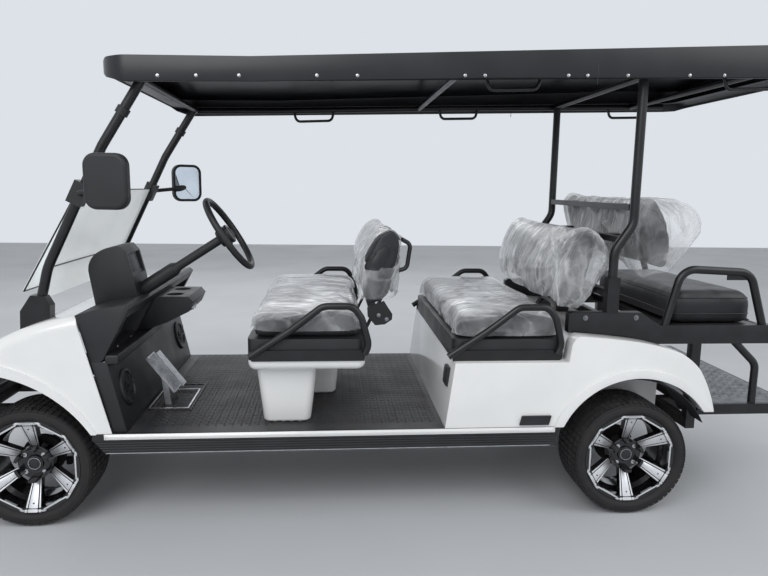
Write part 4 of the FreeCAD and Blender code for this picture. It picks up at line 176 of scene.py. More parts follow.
def wrapping_film():
    """Thin polyethylene: a white haze in soft patches, with painted highlights along its folds and where its
    bumped face turns edge-on, and painted reflection that keeps it white down the seats' faces and nearly
    clear over their ends.
    """
    material, tree, shader = blank_material("crumpled_clear_film", Base_Color=linear("#F4F6F8"), IOR=1.5,
                                            Roughness=0.14, Coat_Weight=0.4, Coat_Roughness=0.06)
    texture = add_node(tree, "ShaderNodeTexCoord")
    long_ways = add_node(tree, "ShaderNodeMapping", {
        "Vector": texture.outputs["Object"], "Scale": (0.2, 1.0, 0.2)})
    patches = add_node(tree, "ShaderNodeTexNoise", {
        "Vector": texture.outputs["Object"], "Scale": 1000 / 190, "Detail": 2.0, "Distortion": 0.6})
    patch = add_node(tree, "ShaderNodeMapRange", {
        "Value": patches.outputs["Fac"], "From Min": 0.38, "From Max": 0.64})
    layers = [(patch.outputs[0], 0.34)]
    heights = []
    for spacing_mm, width, share in ((52, 0.05, 0.26), (21, 0.06, 0.12)):
        wave = add_node(tree, "ShaderNodeTexNoise", {
            "Vector": long_ways.outputs[0], "Scale": 1000 / spacing_mm, "Detail": 1.0, "Distortion": 0.7})
        middle = add_node(tree, "ShaderNodeMath", {0: wave.outputs["Fac"], 1: 0.5}, operation="SUBTRACT")
        apart = add_node(tree, "ShaderNodeMath", {0: middle.outputs[0]}, operation="ABSOLUTE")
        # Painted highlight: the film is made whiter along the crease lines of each wave.
        painted_fold_highlight = add_node(tree, "ShaderNodeMapRange", {
            "Value": apart.outputs[0], "From Max": width, "To Min": 1.0, "To Max": 0.0},
            interpolation_type="SMOOTHSTEP")
        layers.append((painted_fold_highlight.outputs[0], share))
        heights.append(wave.outputs["Fac"])
    waves = add_node(tree, "ShaderNodeBump", {"Height": heights[0], "Distance": 0.014, "Strength": 0.8})
    bump = add_node(tree, "ShaderNodeBump", {
        "Height": heights[1], "Distance": 0.004, "Strength": 0.7, "Normal": waves.outputs["Normal"]})
    # Painted highlight: the film is made whiter where its bumped face turns edge-on to the view.
    painted_grazing_highlight = add_node(tree, "ShaderNodeLayerWeight", {"Blend": 0.35, "Normal": bump.outputs["Normal"]})
    layers.append((painted_grazing_highlight.outputs["Facing"], 0.42))
    haze_and_painted_highlights = 0.15
    for output, share in layers:
        haze_and_painted_highlights = add_node(tree, "ShaderNodeMath", {0: output, 1: share, 2: haze_and_painted_highlights}, operation="MULTIPLY_ADD",
                        use_clamp=True).outputs[0]
    facing = add_node(tree, "ShaderNodeSeparateXYZ", {"Vector": texture.outputs["Normal"]})
    endwise = add_node(tree, "ShaderNodeMath", {0: facing.outputs["Y"]}, operation="ABSOLUTE")
    # Painted reflection: faces that look along Y, the seats' ends, keep only 45 per cent of the white.
    painted_light_by_side = add_node(tree, "ShaderNodeMapRange", {
        "Value": endwise.outputs[0], "From Min": 0.55, "From Max": 0.95, "To Min": 1.0, "To Max": 0.45})
    film_opacity_with_painted_light = add_node(tree, "ShaderNodeMath", {0: haze_and_painted_highlights, 1: painted_light_by_side.outputs[0]}, operation="MULTIPLY")
    tree.links.new(film_opacity_with_painted_light.outputs[0], shader.inputs["Alpha"])
    tree.links.new(bump.outputs["Normal"], shader.inputs["Normal"])
    return material


clear_film = wrapping_film()
# Woven polyester belt: matt black.
woven_belt = grained("woven_polyester_belt", "#151517", "#1F1F22", 0.8, 1.4, 0.3, 30, Sheen_Weight=0.2)
# Bright zinc plating of the bolts: a pale grey metal with a soft sheen.
zinc_steel = grained("zinc_plated_steel", "#8E9094", "#77797D", 0.34, 1.5, 0.03, 15, Metallic=1.0)
# Tinted glass over the gauges.
dark_glass = grained("tinted_glass", "#0B0D12", "#12151B", 0.3, 30, 0.01, 60, IOR=1.3)


SLOT_FINISHES = {
    "tyre": tyre_rubber, "rim": machined_aluminium, "chassis_paint": chassis_paint, "driveline": cast_iron,
    "battery_case": battery_case, "floor_mat": floor_rubber, "body_white": white_shell,
    "black_moulding": black_abs, "seat_cover": seat_vinyl, "tube_black": black_tube, "roof_black": roof_abs,
    "screen": screen_acrylic, "lamp_lens": lamp_lens, "lamp_red": red_lens, "pedal_metal": pedal_steel,
    "tread_metal": chequer_plate,
}


def coat(piece, finish):
    """Give a piece its one finish."""
    piece.data.materials.clear()
    piece.data.materials.append(finish)


NODE_SLOTS = {entry["node"]: entry["material_slot"] for entry in frame["record"]["subparts"]}
for node_name, node_slot in NODE_SLOTS.items():
    coat(NODES[node_name], SLOT_FINISHES[node_slot])


# Modelling tools

MIRRORED = Matrix.Diagonal((1, -1, 1, 1))


def deselect():
    """Leave edit mode and select nothing."""
    if bpy.context.object and bpy.context.object.mode != "OBJECT":
        bpy.ops.object.mode_set(mode="OBJECT")
    bpy.ops.object.select_all(action="DESELECT")


def lone(piece):
    """Leave edit mode, then select and activate one piece alone."""
    deselect()
    piece.select_set(True)
    bpy.context.view_layer.objects.active = piece
    return piece


def primitive(name, kind, place, stretch=(1, 1, 1), turn=(0, 0, 0), **settings):
    """Add a primitive with its size, turn and place in its mesh."""
    deselect()
    getattr(bpy.ops.mesh, f"primitive_{kind}_add")(location=place, rotation=turn, **settings)
    piece = bpy.context.object
    piece.scale = stretch
    piece.name = name
    bpy.ops.object.transform_apply(location=True, rotation=True, scale=True)
    return piece


def pick(piece, test, kind="FACE"):
    """Open a piece in edit mode and select its faces, edges or points that pass a test of place and way."""
    lone(piece)
    bpy.ops.object.mode_set(mode="EDIT")
    bpy.ops.mesh.select_mode(type=kind)
    bpy.ops.mesh.select_all(action="DESELECT")
    shape = bmesh.from_edit_mesh(piece.data)
    shape.normal_update()
    if kind == "FACE":
        for face in shape.faces:
            face.select_set(bool(test(face.calc_center_median(), face.normal)))
    elif kind == "EDGE":
        for edge in shape.edges:
            start, end = (point.co for point in edge.verts)
            edge.select_set(bool(test((start + end) / 2, (end - start).normalized())))
    else:
        for point in shape.verts:
            point.select_set(bool(test(point.co, point.normal)))
    shape.select_flush_mode()
    bmesh.update_edit_mesh(piece.data)


def everything(place, way):
    return True


def bevel(width, rounds=2):
    bpy.ops.mesh.bevel(offset=width, segments=rounds, affect="EDGES")


def extrude(move):
    bpy.ops.mesh.extrude_region_move(TRANSFORM_OT_translate={"value": move})


def panel(piece, test, margin, move):
    """Inset the faces that pass a test, and raise or sink them by a move."""
    pick(piece, test)
    bpy.ops.mesh.inset(thickness=margin)
    extrude(move)


def applied(piece, kind, **settings):
    """Apply one modifier with its settings to a piece."""
    modifier = lone(piece).modifiers.new("finish", kind)
    for name, value in settings.items():
        setattr(modifier, name, value)
    bpy.ops.object.modifier_apply(modifier=modifier.name)
    return piece


def subdivided(piece, rounds=1):
    return applied(piece, "SUBSURF", levels=rounds, render_levels=rounds)


def block(name, low, high, edge=0.002, rounds=2):
    """A block between two corners, with rounded edges."""
    low, high = Vector(low), Vector(high)
    piece = primitive(name, "cube", (low + high) / 2, high - low, size=1)
    if edge:
        pick(piece, everything, "EDGE")
        bevel(edge, rounds)
    return lone(piece)


def tapered_block(name, place):
    """A block whose corners a function places, from whether each is on the high side in X, Y and Z."""
    piece = primitive(name, "cube", (0, 0, 0), size=1)
    for point in piece.data.vertices:
        point.co = place(*(value > 0 for value in point.co))
    return piece


def rod(name, middle, radius, length, axis, edge=0.001, sides=24):
    """A round bar or disc along an axis, with rounded rims."""
    turn = Vector(axis).to_track_quat("Z", "Y").to_euler()
    piece = primitive(name, "cylinder", middle, turn=turn, radius=radius, depth=length, vertices=sides)
    if edge:
        axis = Vector(axis).normalized()
        pick(piece, lambda place, way: abs(way.dot(axis)) < 0.5, "EDGE")
        bevel(edge)
    return lone(piece)


def copied(piece, name):
    """A copy of a piece with its own mesh."""
    copy = bpy.data.objects.new(name, piece.data.copy())
    bpy.context.collection.objects.link(copy)
    return copy


def twin(piece, name, matrix):
    """A copy of a piece, moved or mirrored by a matrix."""
    copy = copied(piece, name)
    copy.data.transform(matrix)
    if matrix.determinant() < 0:
        copy.data.flip_normals()
    return copy


def merged(node, name, flat_angle):
    """A copy of a CAD node with its doubles merged and its flat faces whole, open in edit mode."""
    copy = copied(NODES[node], name)
    pick(copy, everything)
    bpy.ops.mesh.remove_doubles(threshold=0.00002)
    bpy.ops.mesh.dissolve_limited(angle_limit=math.radians(flat_angle))
    return copy


def corded(line, radius, rounds):
    """Make a round cord of a line of edges."""
    lone(line)
    bpy.ops.object.convert(target="CURVE")
    line.data.bevel_depth = radius
    line.data.bevel_resolution = rounds
    bpy.ops.object.convert(target="MESH")
    return line


def joined(name, pieces):
    """Make one piece of several."""
    lone(pieces[0])
    for piece in pieces[1:]:
        piece.select_set(True)
    bpy.ops.object.join()
    pieces[0].name = name
    return pieces[0]


def settle(piece, body, finish, smooth=35):
    """Give a piece its finish, smooth its round faces and fix it to a body."""
    lone(piece)
    bpy.ops.object.shade_smooth_by_angle(angle=math.radians(smooth))
    coat(piece, finish)
    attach(piece, body)
    return piece


# Moulded and folded solids whose edges are rounded

ROUNDED_EDGES = {
    # node, radius of its edges in metres
    "front_seat_pan": 0.006, "second_seat_pan": 0.006, "rear_body": 0.004, "rear_seat_frame": 0.003,
    "dash": 0.003, "instrument_pod": 0.006, "kick_panel": 0.004, "front_bumper": 0.008, "tail_lights": 0.003,
    "charge_inlet": 0.002, "roof": 0.006, "battery_pack": 0.008,
}


def round_edges():
    """Replace each of these solids by a merged copy, with its edges rounded as the real moulding's are."""
    for name, radius in ROUNDED_EDGES.items():
        piece = applied(merged(name, name + "_rounded", 1), "BEVEL", width=radius, segments=3,
                        limit_method="ANGLE", angle_limit=math.radians(35))
        settle(piece, "chassis", SLOT_FINISHES[NODE_SLOTS[name]], 32)
        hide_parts(name)


# Wheels: treaded tyres on dished six-spoke wheels

TYRE_RADIUS = 0.2449
TYRE_HALF_WIDTH = 0.11
TYRE_HALF_OUTLINE = [
    # across from the middle of the tyre and out from the axle, on the outside from the bead to the middle
    (0.093, 0.1935), (0.103, 0.198), (0.1085, 0.208), (0.1095, 0.215), (0.1075, 0.2185), (0.108, 0.2215),
    (0.1045, 0.231), (0.0985, 0.2375), (0.066, 0.2392), (0.061, 0.2392), (0.024, 0.2395), (0.019, 0.2395),
]
TYRE_HALF_INSIDE = [(0.093, 0.199), (0.098, 0.210), (0.094, 0.226)]
TREAD_GROOVES = [(0.0185, 0.0245), (0.0605, 0.0665)]
TREAD_FOOT = 0.2265
TREAD_STEPS = 60
TREAD_HEIGHT = 0.0052
SPOKE_TURNS = [math.radians(60 * step) for step in range(6)]
SPOKE_SLOPE = math.atan2(0.053, 0.1035)
SPOKE_FOOT, SPOKE_FOOT_FACE = 0.0685, 0.0363
SPOKE_STRIPS = [
    # left and right edge at the hub, the same at the rim, thickness
    ("spoke_face", (-0.0095, 0.0095), (-0.0195, 0.0195), 0.0042),
    ("spoke_rib_a", (0.0125, 0.0158), (0.0232, 0.0312), 0.0036),
    ("spoke_rib_b", (-0.0158, -0.0125), (-0.0312, -0.0232), 0.0036),
]
RIVET_CIRCLE = 0.155
DISC_FACE = 0.030
NUT_CIRCLE = 0.0508


def spun(name, outline, steps):
    """Turn a closed outline of (along Y, out from it) points about the Y axis through the origin."""
    ring = primitive(name, "circle", (0, 0, 0), vertices=len(outline), radius=1)
    for point, (along, out) in zip(ring.data.vertices, outline):
        point.co = (0, along, out)
    pick(ring, everything, "EDGE")
    bpy.ops.mesh.spin(steps=steps, angle=2 * math.pi, center=(0, 0, 0), axis=(0, 1, 0))
    bpy.ops.mesh.select_all(action="SELECT")
    bpy.ops.mesh.remove_doubles(threshold=0.00005)
    bpy.ops.mesh.normals_make_consistent(inside=False)
    return lone(ring)


def tread_face(place, way):
    """A face of the tread's ribs or of the shoulder, but none of the grooves round the tyre."""
    in_groove = any(near < abs(place.y) < far for near, far in TREAD_GROOVES)
    outwards = Vector((place.x, 0, place.z))
    return math.hypot(place.x, place.z) > TREAD_FOOT and not in_groove and way.dot(outwards) > 0


def make_tyre():
    """A tyre whose tread stands up in pads between two grooves on each side."""
    mirrored = [(-along, out) for along, out in TYRE_HALF_OUTLINE]
    outline = mirrored + TYRE_HALF_OUTLINE[::-1] + TYRE_HALF_INSIDE
    outline += [(-along, out) for along, out in TYRE_HALF_INSIDE[::-1]]
    tyre = spun("tyre", outline, TREAD_STEPS)
    pick(tyre, tread_face)
    bpy.ops.mesh.inset(thickness=0.0022, use_individual=True)
    bpy.ops.mesh.extrude_region_shrink_fatten(TRANSFORM_OT_shrink_fatten={"value": TREAD_HEIGHT})
    lone(tyre)
    for point in tyre.data.vertices:
        out = math.hypot(point.co.x, point.co.z)
        if out > TYRE_RADIUS:
            point.co.x *= TYRE_RADIUS / out
            point.co.z *= TYRE_RADIUS / out
        point.co.y = max(-TYRE_HALF_WIDTH, min(TYRE_HALF_WIDTH, point.co.y))
    return tyre


def spoke_face(out):
    """How far forward a spoke's sloping face is, at this distance from the axle."""
    return SPOKE_FOOT_FACE + (out - SPOKE_FOOT) * math.tan(SPOKE_SLOPE)


def spoke_strip(name, root, tip, thickness):
    """A strip of a spoke's face between two pairs of (left, right) edges at the hub and at the rim."""
    def corner(right, front, far):
        out = 0.1865 if far else 0.0700
        return (tip if far else root)[right], spoke_face(out) + (thickness if front else 0.0), out

    strip = tapered_block(name, corner)
    pick(strip, lambda place, way: abs(way.y) < 0.9 or place.y > SPOKE_FOOT_FACE, "EDGE")
    bevel(0.0014)
    return lone(strip)


def rim_flat(turn, inner_half, inner, outer_half, outer):
    """A machined flat of the rim's polygon, from half its length and its distance out at both its edges."""
    flat = tapered_block("rim_flat", lambda right, front, far: (
        (outer_half if far else inner_half) * (1 if right else -1), 0.0958 if front else 0.084,
        outer if far else inner))
    pick(flat, lambda place, way: place.y > 0.095, "EDGE")
    bevel(0.0022)
    lone(flat).data.transform(Matrix.Rotation(turn, 4, "Y"))
    return flat


def ringed(piece, turns):
    """A piece and its copies, turned about the axle."""
    return [piece] + [twin(piece, piece.name, Matrix.Rotation(turn, 4, "Y")) for turn in turns]


def make_wheel_face():
    """The machined spokes and rim flats, the bright nuts and cap ring, and the black lip, hub and rivets."""
    spokes = ringed(joined("spoke", [spoke_strip(*strip) for strip in SPOKE_STRIPS]), SPOKE_TURNS[1:])
    lip = spun("wheel_lip", [(0.078, 0.1775), (0.0905, 0.1795), (0.0935, 0.1835), (0.0935, 0.1895),
                             (0.092, 0.1925), (0.0895, 0.1925), (0.089, 0.187), (0.076, 0.182)], 72)
    hub = spun("wheel_hub", [(0.026, 0.030), (0.0455, 0.030), (0.047, 0.033), (0.047, 0.062),
                             (0.044, 0.0690), (0.026, 0.0690)], 48)
    flats = [rim_flat(turn, 0.055, 0.1775, 0.043, 0.1868) for turn in SPOKE_TURNS]
    flats += [rim_flat(turn + math.radians(30), 0.050, 0.1700, 0.062, 0.1775) for turn in SPOKE_TURNS]
    machined = joined("wheel_face", spokes + flats)
    nut = rod("wheel_nut", (0, DISC_FACE + 0.016, NUT_CIRCLE), 0.0105, 0.016, (0, 1, 0), 0.002, 6)
    nuts = ringed(nut, [math.radians(90 * step) for step in (1, 2, 3)])
    for piece in nuts:
        piece.data.transform(Matrix.Rotation(math.radians(45), 4, "Y"))
    ring = spun("cap_ring", [(0.030, 0.0315), (0.036, 0.0350), (0.042, 0.0345), (0.044, 0.0315)], 48)
    cap_line = spun("cap_line", [(0.0555, 0.0215), (0.0572, 0.0225), (0.0572, 0.0245), (0.0548, 0.0255)], 48)
    bright = joined("wheel_nuts", nuts + [ring, cap_line])
    rivet = rod("rivet", (0, spoke_face(RIVET_CIRCLE) + 0.0045, RIVET_CIRCLE), 0.0032, 0.003, (0, 1, 0),
                0.0008, 16)
    return machined, bright, joined("spoke_rivets", ringed(rivet, SPOKE_TURNS[1:]) + [lip, hub])


def make_wheels():
    """Four wheels from one: each is copied to its axle, mirrored on the right."""
    tyre = make_tyre()
    machined, bright, rivets = make_wheel_face()
    parts = [
        # piece, name, finish, slot, smoothing angle
        (tyre, "tyre_treaded", tyre_rubber, "tyre", 40),
        (machined, "wheel_face", machined_aluminium, "rim", 30),
        (bright, "wheel_nuts", bright_steel, "rim", 40),
        (rivets, "wheel_rivets", wheel_enamel, "rim", 40),
    ]
    for corner in ("front_left", "front_right", "rear_left", "rear_right"):
        low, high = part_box("tyre_" + corner)
        place = Matrix.Translation((low + high) / 2)
        if "right" in corner:
            place = place @ MIRRORED
        for part, name, finish, slot, smooth in parts:
            copy = twin(part, f"{name}_{corner}", place)
            settle(copy, "wheel_" + corner, finish, smooth)
            if part is tyre:
                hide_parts("tyre_" + corner)
        coat(NODES["rim_" + corner], wheel_enamel)
    for part, *_ in parts:
        bpy.data.objects.remove(part)


# Seats: foam pads in stitched vinyl, and the clear film they came in

GRID = 0.013
PAD_ROUNDS = 16
PAD_SHRINK = 0.006
# How far a pad may stand in from its solid's box and past it.
PAD_INSET, PAD_SWELL = 0.001, 0.009
PIPING_RADIUS = 0.0032
FILM_ROUNDS = 18
CLOTH_GAP = 0.003
FILM_FALL = 0.03
FILM_CLOTH = {
    "mass": 0.05, "tension_stiffness": 15, "compression_stiffness": 15, "shear_stiffness": 5,
    "bending_stiffness": 1.0, "air_damping": 1.0, "shrink_min": -0.02, "gravity": 1.0,
}


def places(mesh):
    return [point.co.copy() for point in mesh.vertices]


def with_normals(mesh):
    """Each point of a mesh with its normal, read before any point moves."""
    return [(point, point.normal.copy()) for point in mesh.vertices]


def even_copy(piece, name, grow):
    """A closed copy of a shape, meshed evenly, then grown or shrunk."""
    copy = copied(piece, name)
    pick(copy, everything)
    bpy.ops.mesh.remove_doubles(threshold=0.0001)
    bpy.ops.mesh.normals_make_consistent(inside=False)
    applied(copy, "REMESH", mode="VOXEL", voxel_size=GRID)
    for point, normal in with_normals(copy.data):
        point.co += normal * grow
    return copy


def simulate(piece, rounds, cap, **settings):
    """Run cloth on a piece for some frames, and move no point further than the cap."""
    start = places(piece.data)
    cloth = piece.modifiers.new("cloth", "CLOTH")
    cloth.settings.quality = 5
    for name, value in settings.items():
        owner = cloth.settings.effector_weights if name == "gravity" else cloth.settings
        setattr(owner, name, value)
    cloth.collision_settings.distance_min = CLOTH_GAP
    cloth.collision_settings.use_self_collision = False
    cloth.point_cache.frame_end = rounds
    for frame_number in range(1, rounds + 1):
        bpy.context.scene.frame_set(frame_number)
    ends = places(piece.evaluated_get(bpy.context.evaluated_depsgraph_get()).to_mesh())
    piece.modifiers.remove(cloth)
    bpy.context.scene.frame_set(1)
    for point, begin, end in zip(piece.data.vertices, start, ends):
        move = end - begin
        point.co = begin + move * min(1.0, cap / max(move.length, 1e-9))


def piping(pad, name, place, way):
    """A sewn cord round a pad, where a plane meets it."""
    loop = copied(pad, name)
    pick(loop, everything)
    bpy.ops.mesh.bisect(plane_co=place, plane_no=way, clear_inner=True, clear_outer=True)
    return corded(loop, PIPING_RADIUS, 2)


SEATS = [
    # node, body, cap of the swelling, fill, piping planes as (axis, share of the node's box)
    ("front_cushion", "chassis", 0.012, 0.7, ((2, 0.24),)),
    ("second_cushion", "chassis", 0.012, 0.7, ((2, 0.24),)),
    ("rear_cushion", "flip_seat", 0.010, 0.75, ((2, 0.3), (2, 0.8))),
    ("front_backrest", "chassis", 0.012, 0.65, ((1, 0.016), (1, 0.984))),
    ("second_backrest", "chassis", 0.012, 0.65, ((1, 0.016), (1, 0.984))),
    ("rear_backrest", "chassis", 0.012, 0.65, ((1, 0.018), (1, 0.982))),
]


def make_seats():
    """Every cushion and backrest swells a little in its cover, between its sewn edges."""
    pads = {}
    for node, body, cap, fill, planes in SEATS:
        low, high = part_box(node)
        pad = even_copy(NODES[node], node + "_pad", -PAD_SHRINK)
        simulate(pad, PAD_ROUNDS, cap, use_pressure=True, uniform_pressure_force=4.0, gravity=0.0)
        for point in pad.data.vertices:
            point.co = [min(max(value, least + PAD_INSET), most + PAD_SWELL)
                        for value, least, most in zip(point.co, low, high)]
        subdivided(pad)
        for number, (axis, share) in enumerate(planes):
            way = [float(axis == side) for side in range(3)]
            cord = piping(pad, f"{node}_piping_{number + 1}", low.lerp(high, share), way)
            settle(cord, body, seat_vinyl, 60)
        settle(pad, body, seat_vinyl, 60)
        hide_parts(node)
        pads[node] = pad
    return pads


def drawn_out(film, centre, reach, move):
    """Pull the side of a film that looks that way off its pad, most at the centre, where the bag is loose."""
    centre, move = Vector(centre), Vector(move)
    way = move.normalized()
    for point, normal in with_normals(film.data):
        away = (point.co - centre).length / reach
        if away < 1:
            point.co += move * (1 - away * away) ** 2 * min(1.0, max(0.0, normal.dot(way) + 0.35))


def creased(film, gather, folds, depth):
    """Soft folds that fan out from the point where a film is gathered."""
    gather = Vector(gather)
    for point, normal in with_normals(film.data):
        reach = point.co - gather
        away = max(reach.length, 0.01)
        ridge = max(0.0, 1 - abs(noise.noise(reach / away * folds + Vector((away * 1.2, 0, 0)))) * 2.4)
        point.co += normal * depth * min(1.0, away / 0.2) * ridge ** 2


FILMS = [
    # node, growth, flat width and length, height of the open foot,
    # draws as (centre, reach, move), gather point, folds, depth of the folds
    ("front_backrest", 0.008, (0.74, 1.20), 0.03,
     [((0.05, 0.1, 1.02), 0.3, (0.030, 0, 0.0))],
     (0.06, 0.47, 0.93), 4.5, 0.005),
    ("second_backrest", 0.014, (0.80, 1.30), 0.03,
     [((-0.93, 0.36, 1.06), 0.26, (-0.09, 0.02, 0.0)), ((-0.76, 0.1, 0.98), 0.34, (0.045, 0, -0.02)),
      ((-0.85, 0.5, 0.93), 0.16, (0.0, 0.015, -0.05))],
     (-0.80, 0.50, 1.04), 5.0, 0.006),
    ("rear_backrest", 0.014, (0.80, 1.20), 0.03,
     [((-1.26, 0.42, 1.24), 0.26, (-0.14, 0.03, 0.03)), ((-1.20, 0.44, 1.05), 0.2, (0.0, 0.02, -0.06)),
      ((-1.14, -0.4, 1.32), 0.16, (0.02, 0, 0.03))],
     (-1.22, 0.45, 1.04), 4.5, 0.005),
    ("front_cushion", 0.008, (0.66, 1.26), 0.045,
     [((0.25, 0.2, 0.87), 0.3, (0, 0, 0.02)), ((0.5, -0.2, 0.84), 0.25, (0.015, 0, 0.005))],
     (0.05, 0.50, 0.86), 5.0, 0.005),
    ("second_cushion", 0.008, (0.66, 1.26), 0.035,
     [((-0.6, 0.1, 0.86), 0.3, (0, 0, 0.02)), ((-0.34, 0.2, 0.8), 0.2, (0.02, 0, 0))],
     (-0.70, 0.52, 0.86), 5.0, 0.005),
]


def bare_end(node, place):
    """The upper part of the front backrest's near end, where its bag is pulled forward off the vinyl."""
    return (node == "front_backrest" and place.y > 0.455 and place.z > 1.045 - (place.x + 0.03) * 0.2
            and place.x < 0.046 - (place.z - 1.04) * 0.12)


def make_films(pads):
    """The benches' factory bags: each is larger than its pad, falls on it and creases, and is open below."""
    for node, growth, flat, foot, draws, gather, folds, depth in FILMS:
        pad = pads[node]
        film = even_copy(pad, node + "_film", growth)
        floor = min(point.co.z for point in film.data.vertices) + foot
        pick(film, lambda place, way: place.z < floor or bare_end(node, place))
        bpy.ops.mesh.delete(type="FACE")
        lone(film)
        for centre, reach, move in draws:
            drawn_out(film, centre, reach, move)
        pad.modifiers.new("solid", "COLLISION")
        pad.collision.thickness_outer = CLOTH_GAP
        simulate(film, FILM_ROUNDS, FILM_FALL, **FILM_CLOTH)
        pad.modifiers.remove(pad.modifiers["solid"])
        subdivided(film)
        creased(film, gather, folds, depth)
        settle(film, "chassis", clear_film, 60)


# Small pieces on the solids

# Rays towards the cart's sides start this far out.
BESIDE = 0.8


def surface(node, origin, way):
    """Where a ray first meets a node, and the way that its face looks."""
    hit, place, normal, _ = NODES[node].ray_cast(Vector(origin), Vector(way).normalized())
    if not hit:
        raise ValueError(f"nothing of {node} lies on that line")
    return place, normal


def largest_face(node, name, test, margin=0.0):
    """A piece that holds one flat face of a node, the largest that passes the test, drawn in by a margin."""
    face_piece = merged(node, name, 1.5)
    shape = bmesh.from_edit_mesh(face_piece.data)
    found = max((face for face in shape.faces if test(face.calc_center_median(), face.normal)),
                key=lambda face: face.calc_area())
    centre = found.calc_center_median().copy()
    pick(face_piece, lambda place, way: (place - centre).length > 1e-6)
    bpy.ops.mesh.delete(type="FACE")
    if margin:
        bpy.ops.mesh.select_all(action="SELECT")
        bpy.ops.mesh.inset(thickness=margin)
        bpy.ops.mesh.select_all(action="INVERT")
        bpy.ops.mesh.delete(type="FACE")
    return lone(face_piece)


def thickened(piece, thickness, edge=0.0):
    """Give a flat piece its thickness, outwards."""
    applied(piece, "SOLIDIFY", thickness=thickness, offset=1.0)
    return applied(piece, "BEVEL", width=edge, segments=2) if edge else piece


def edging(node, name, test, radius):
    """A round rubber edge along the outline of a flat face."""
    rim = largest_face(node, name, test)
    pick(rim, everything)
    bpy.ops.mesh.delete(type="ONLY_FACE")
    return corded(rim, radius, 3)


def pan_screw(name, place, way, radius=0.006):
    """A washered pan-head screw with a recess, standing on a face."""
    place, way = Vector(place), Vector(way).normalized()
    washer = rod("washer", place + way * 0.0006, radius * 1.5, 0.0012, way, 0.0003, 20)
    head = rod("head", place + way * 0.0026, radius, 0.0032, way, 0.0012, 20)
    panel(head, lambda at, normal: normal.dot(way) > 0.99, radius * 0.55, way * -0.0012)
    return joined(name, [lone(head), washer])


def lozenges(name, low, high, z, pitch, length, height):
    """Raised lozenges in alternate directions, as on chequer plate, over a rectangle of (x, y)."""
    stud = primitive("stud", "cylinder", (0, 0, height / 2), (length / 2, length / 5, 1),
                     vertices=4, radius=1, depth=height)
    pick(stud, lambda place, way: way.z > 0.9)
    bpy.ops.transform.resize(value=(0.62, 0.5, 1), center_override=(0, 0, height))
    quarter_turn = Matrix.Translation((pitch / 2, pitch / 2, 0)) @ Matrix.Rotation(math.pi / 2, 4, "Z")
    pair = joined(name, [stud, twin(lone(stud), "stud", quarter_turn)])
    for axis, (start, end) in enumerate(zip(low, high)):
        step = [pitch * (axis == side) for side in range(3)]
        applied(pair, "ARRAY", count=int((end - start - length) / pitch), use_relative_offset=False,
                use_constant_offset=True, constant_offset_displace=step)
    pair.data.transform(Matrix.Translation((low[0] + length / 2, low[1] + length / 2, z)))
    return pair


def bolt(name, place, way, across_flats=0.013, height=0.007):
    """A flanged hexagon bolt head on a face."""
    place, way = Vector(place), Vector(way).normalized()
    flange = rod("flange", place + way * 0.001, across_flats * 0.85, 0.002, way, 0.0006, 24)
    head = rod("hexagon", place + way * (0.002 + height / 2), across_flats / 2, height, way, 0.0008, 6)
    return joined(name, [flange, head])


def webbing(name, points, width, thickness=0.0014):
    """A flat woven strap that runs through a few points, its width along Y."""
    strap = primitive(name, "plane", (0, 0, 0), size=1)
    pick(strap, lambda place, way: place.x > 0.4, "EDGE")
    lone(strap)
    for point in strap.data.vertices:
        x, y, z = points[point.co.x > 0]
        point.co = (x, y + (width / 2 if point.co.y > 0 else -width / 2), z)
    for here, following in zip(points[1:], points[2:]):
        pick(strap, lambda place, way: (place - Vector(here)).length < width * 0.3, "EDGE")
        extrude(Vector(following) - Vector(here))
    return thickened(subdivided(strap, 3), thickness)


def make_belts():
    """Belt retractors and their straps behind the second bench."""
    x = -0.985
    top = surface("rear_body", (-0.98, 0.2, 1.2), (0, 0, -1))[0].z
    for number, y in enumerate((0.33, -0.33)):
        case = block(f"belt_retractor_{number + 1}", (x - 0.035, y - 0.030, top),
                     (x + 0.035, y + 0.030, top + 0.085), 0.006, 3)
        panel(case, lambda place, way: way.z > 0.9, 0.008, (0, 0, 0.012))
        bpy.ops.transform.resize(value=(0.5, 0.8, 1), center_override=(x, y, top + 0.097))
        settle(case, "chassis", black_abs)
        strap = webbing(f"belt_webbing_{number + 1}", [
            (x, y, top + 0.09), (x + 0.01, y, top + 0.12), (x + 0.03, y, top + 0.09),
            (x + 0.05, y + 0.01, top + 0.02), (x + 0.03, y + 0.02, top + 0.004)], 0.045)
        settle(strap, "chassis", woven_belt, 60)


def make_fixings():
    """Bolts of the rear seat's beams and of the front backrest's end brackets."""
    heads = []
    for side in (1, -1):
        for x, z in ((-0.880, 0.83), (-1.10, 0.83)):
            place, way = surface("rear_seat_frame", (x, side * BESIDE, z), (0, -side, 0))
            heads.append(bolt("beam_bolt", place, way))
        for x, z in ((-0.012, 0.842), (-0.045, 0.825)):
            place, way = surface("front_backrest_frame", (x, side * BESIDE, z), (0, -side, 0))
            heads.append(bolt("bracket_bolt", place, way, 0.010, 0.005))
    settle(joined("frame_bolts", heads), "chassis", zinc_steel)


def make_console():
    """The instrument pod's dark glass, and the two key switches on the dash."""
    screen = largest_face(
        "instrument_pod", "pod_glass",
        lambda place, way: way.x < -0.9 and 0.98 < place.z < 1.08 and abs(place.y - 0.27) < 0.02, 0.010)
    thickened(screen, 0.0015, 0.0005)
    settle(screen, "chassis", dark_glass)
    knobs = []
    for y in (0.105, 0.060):
        place, way = surface("dash", (0.60, y, 0.80), (1, 0, 0))
        knobs.append(rod("switch_ring", place + way * 0.002, 0.013, 0.004, way, 0.001, 32))
        knobs.append(rod("switch_core", place + way * 0.006, 0.008, 0.010, way, 0.002, 24))
    settle(joined("key_switches", knobs), "chassis", bright_steel)


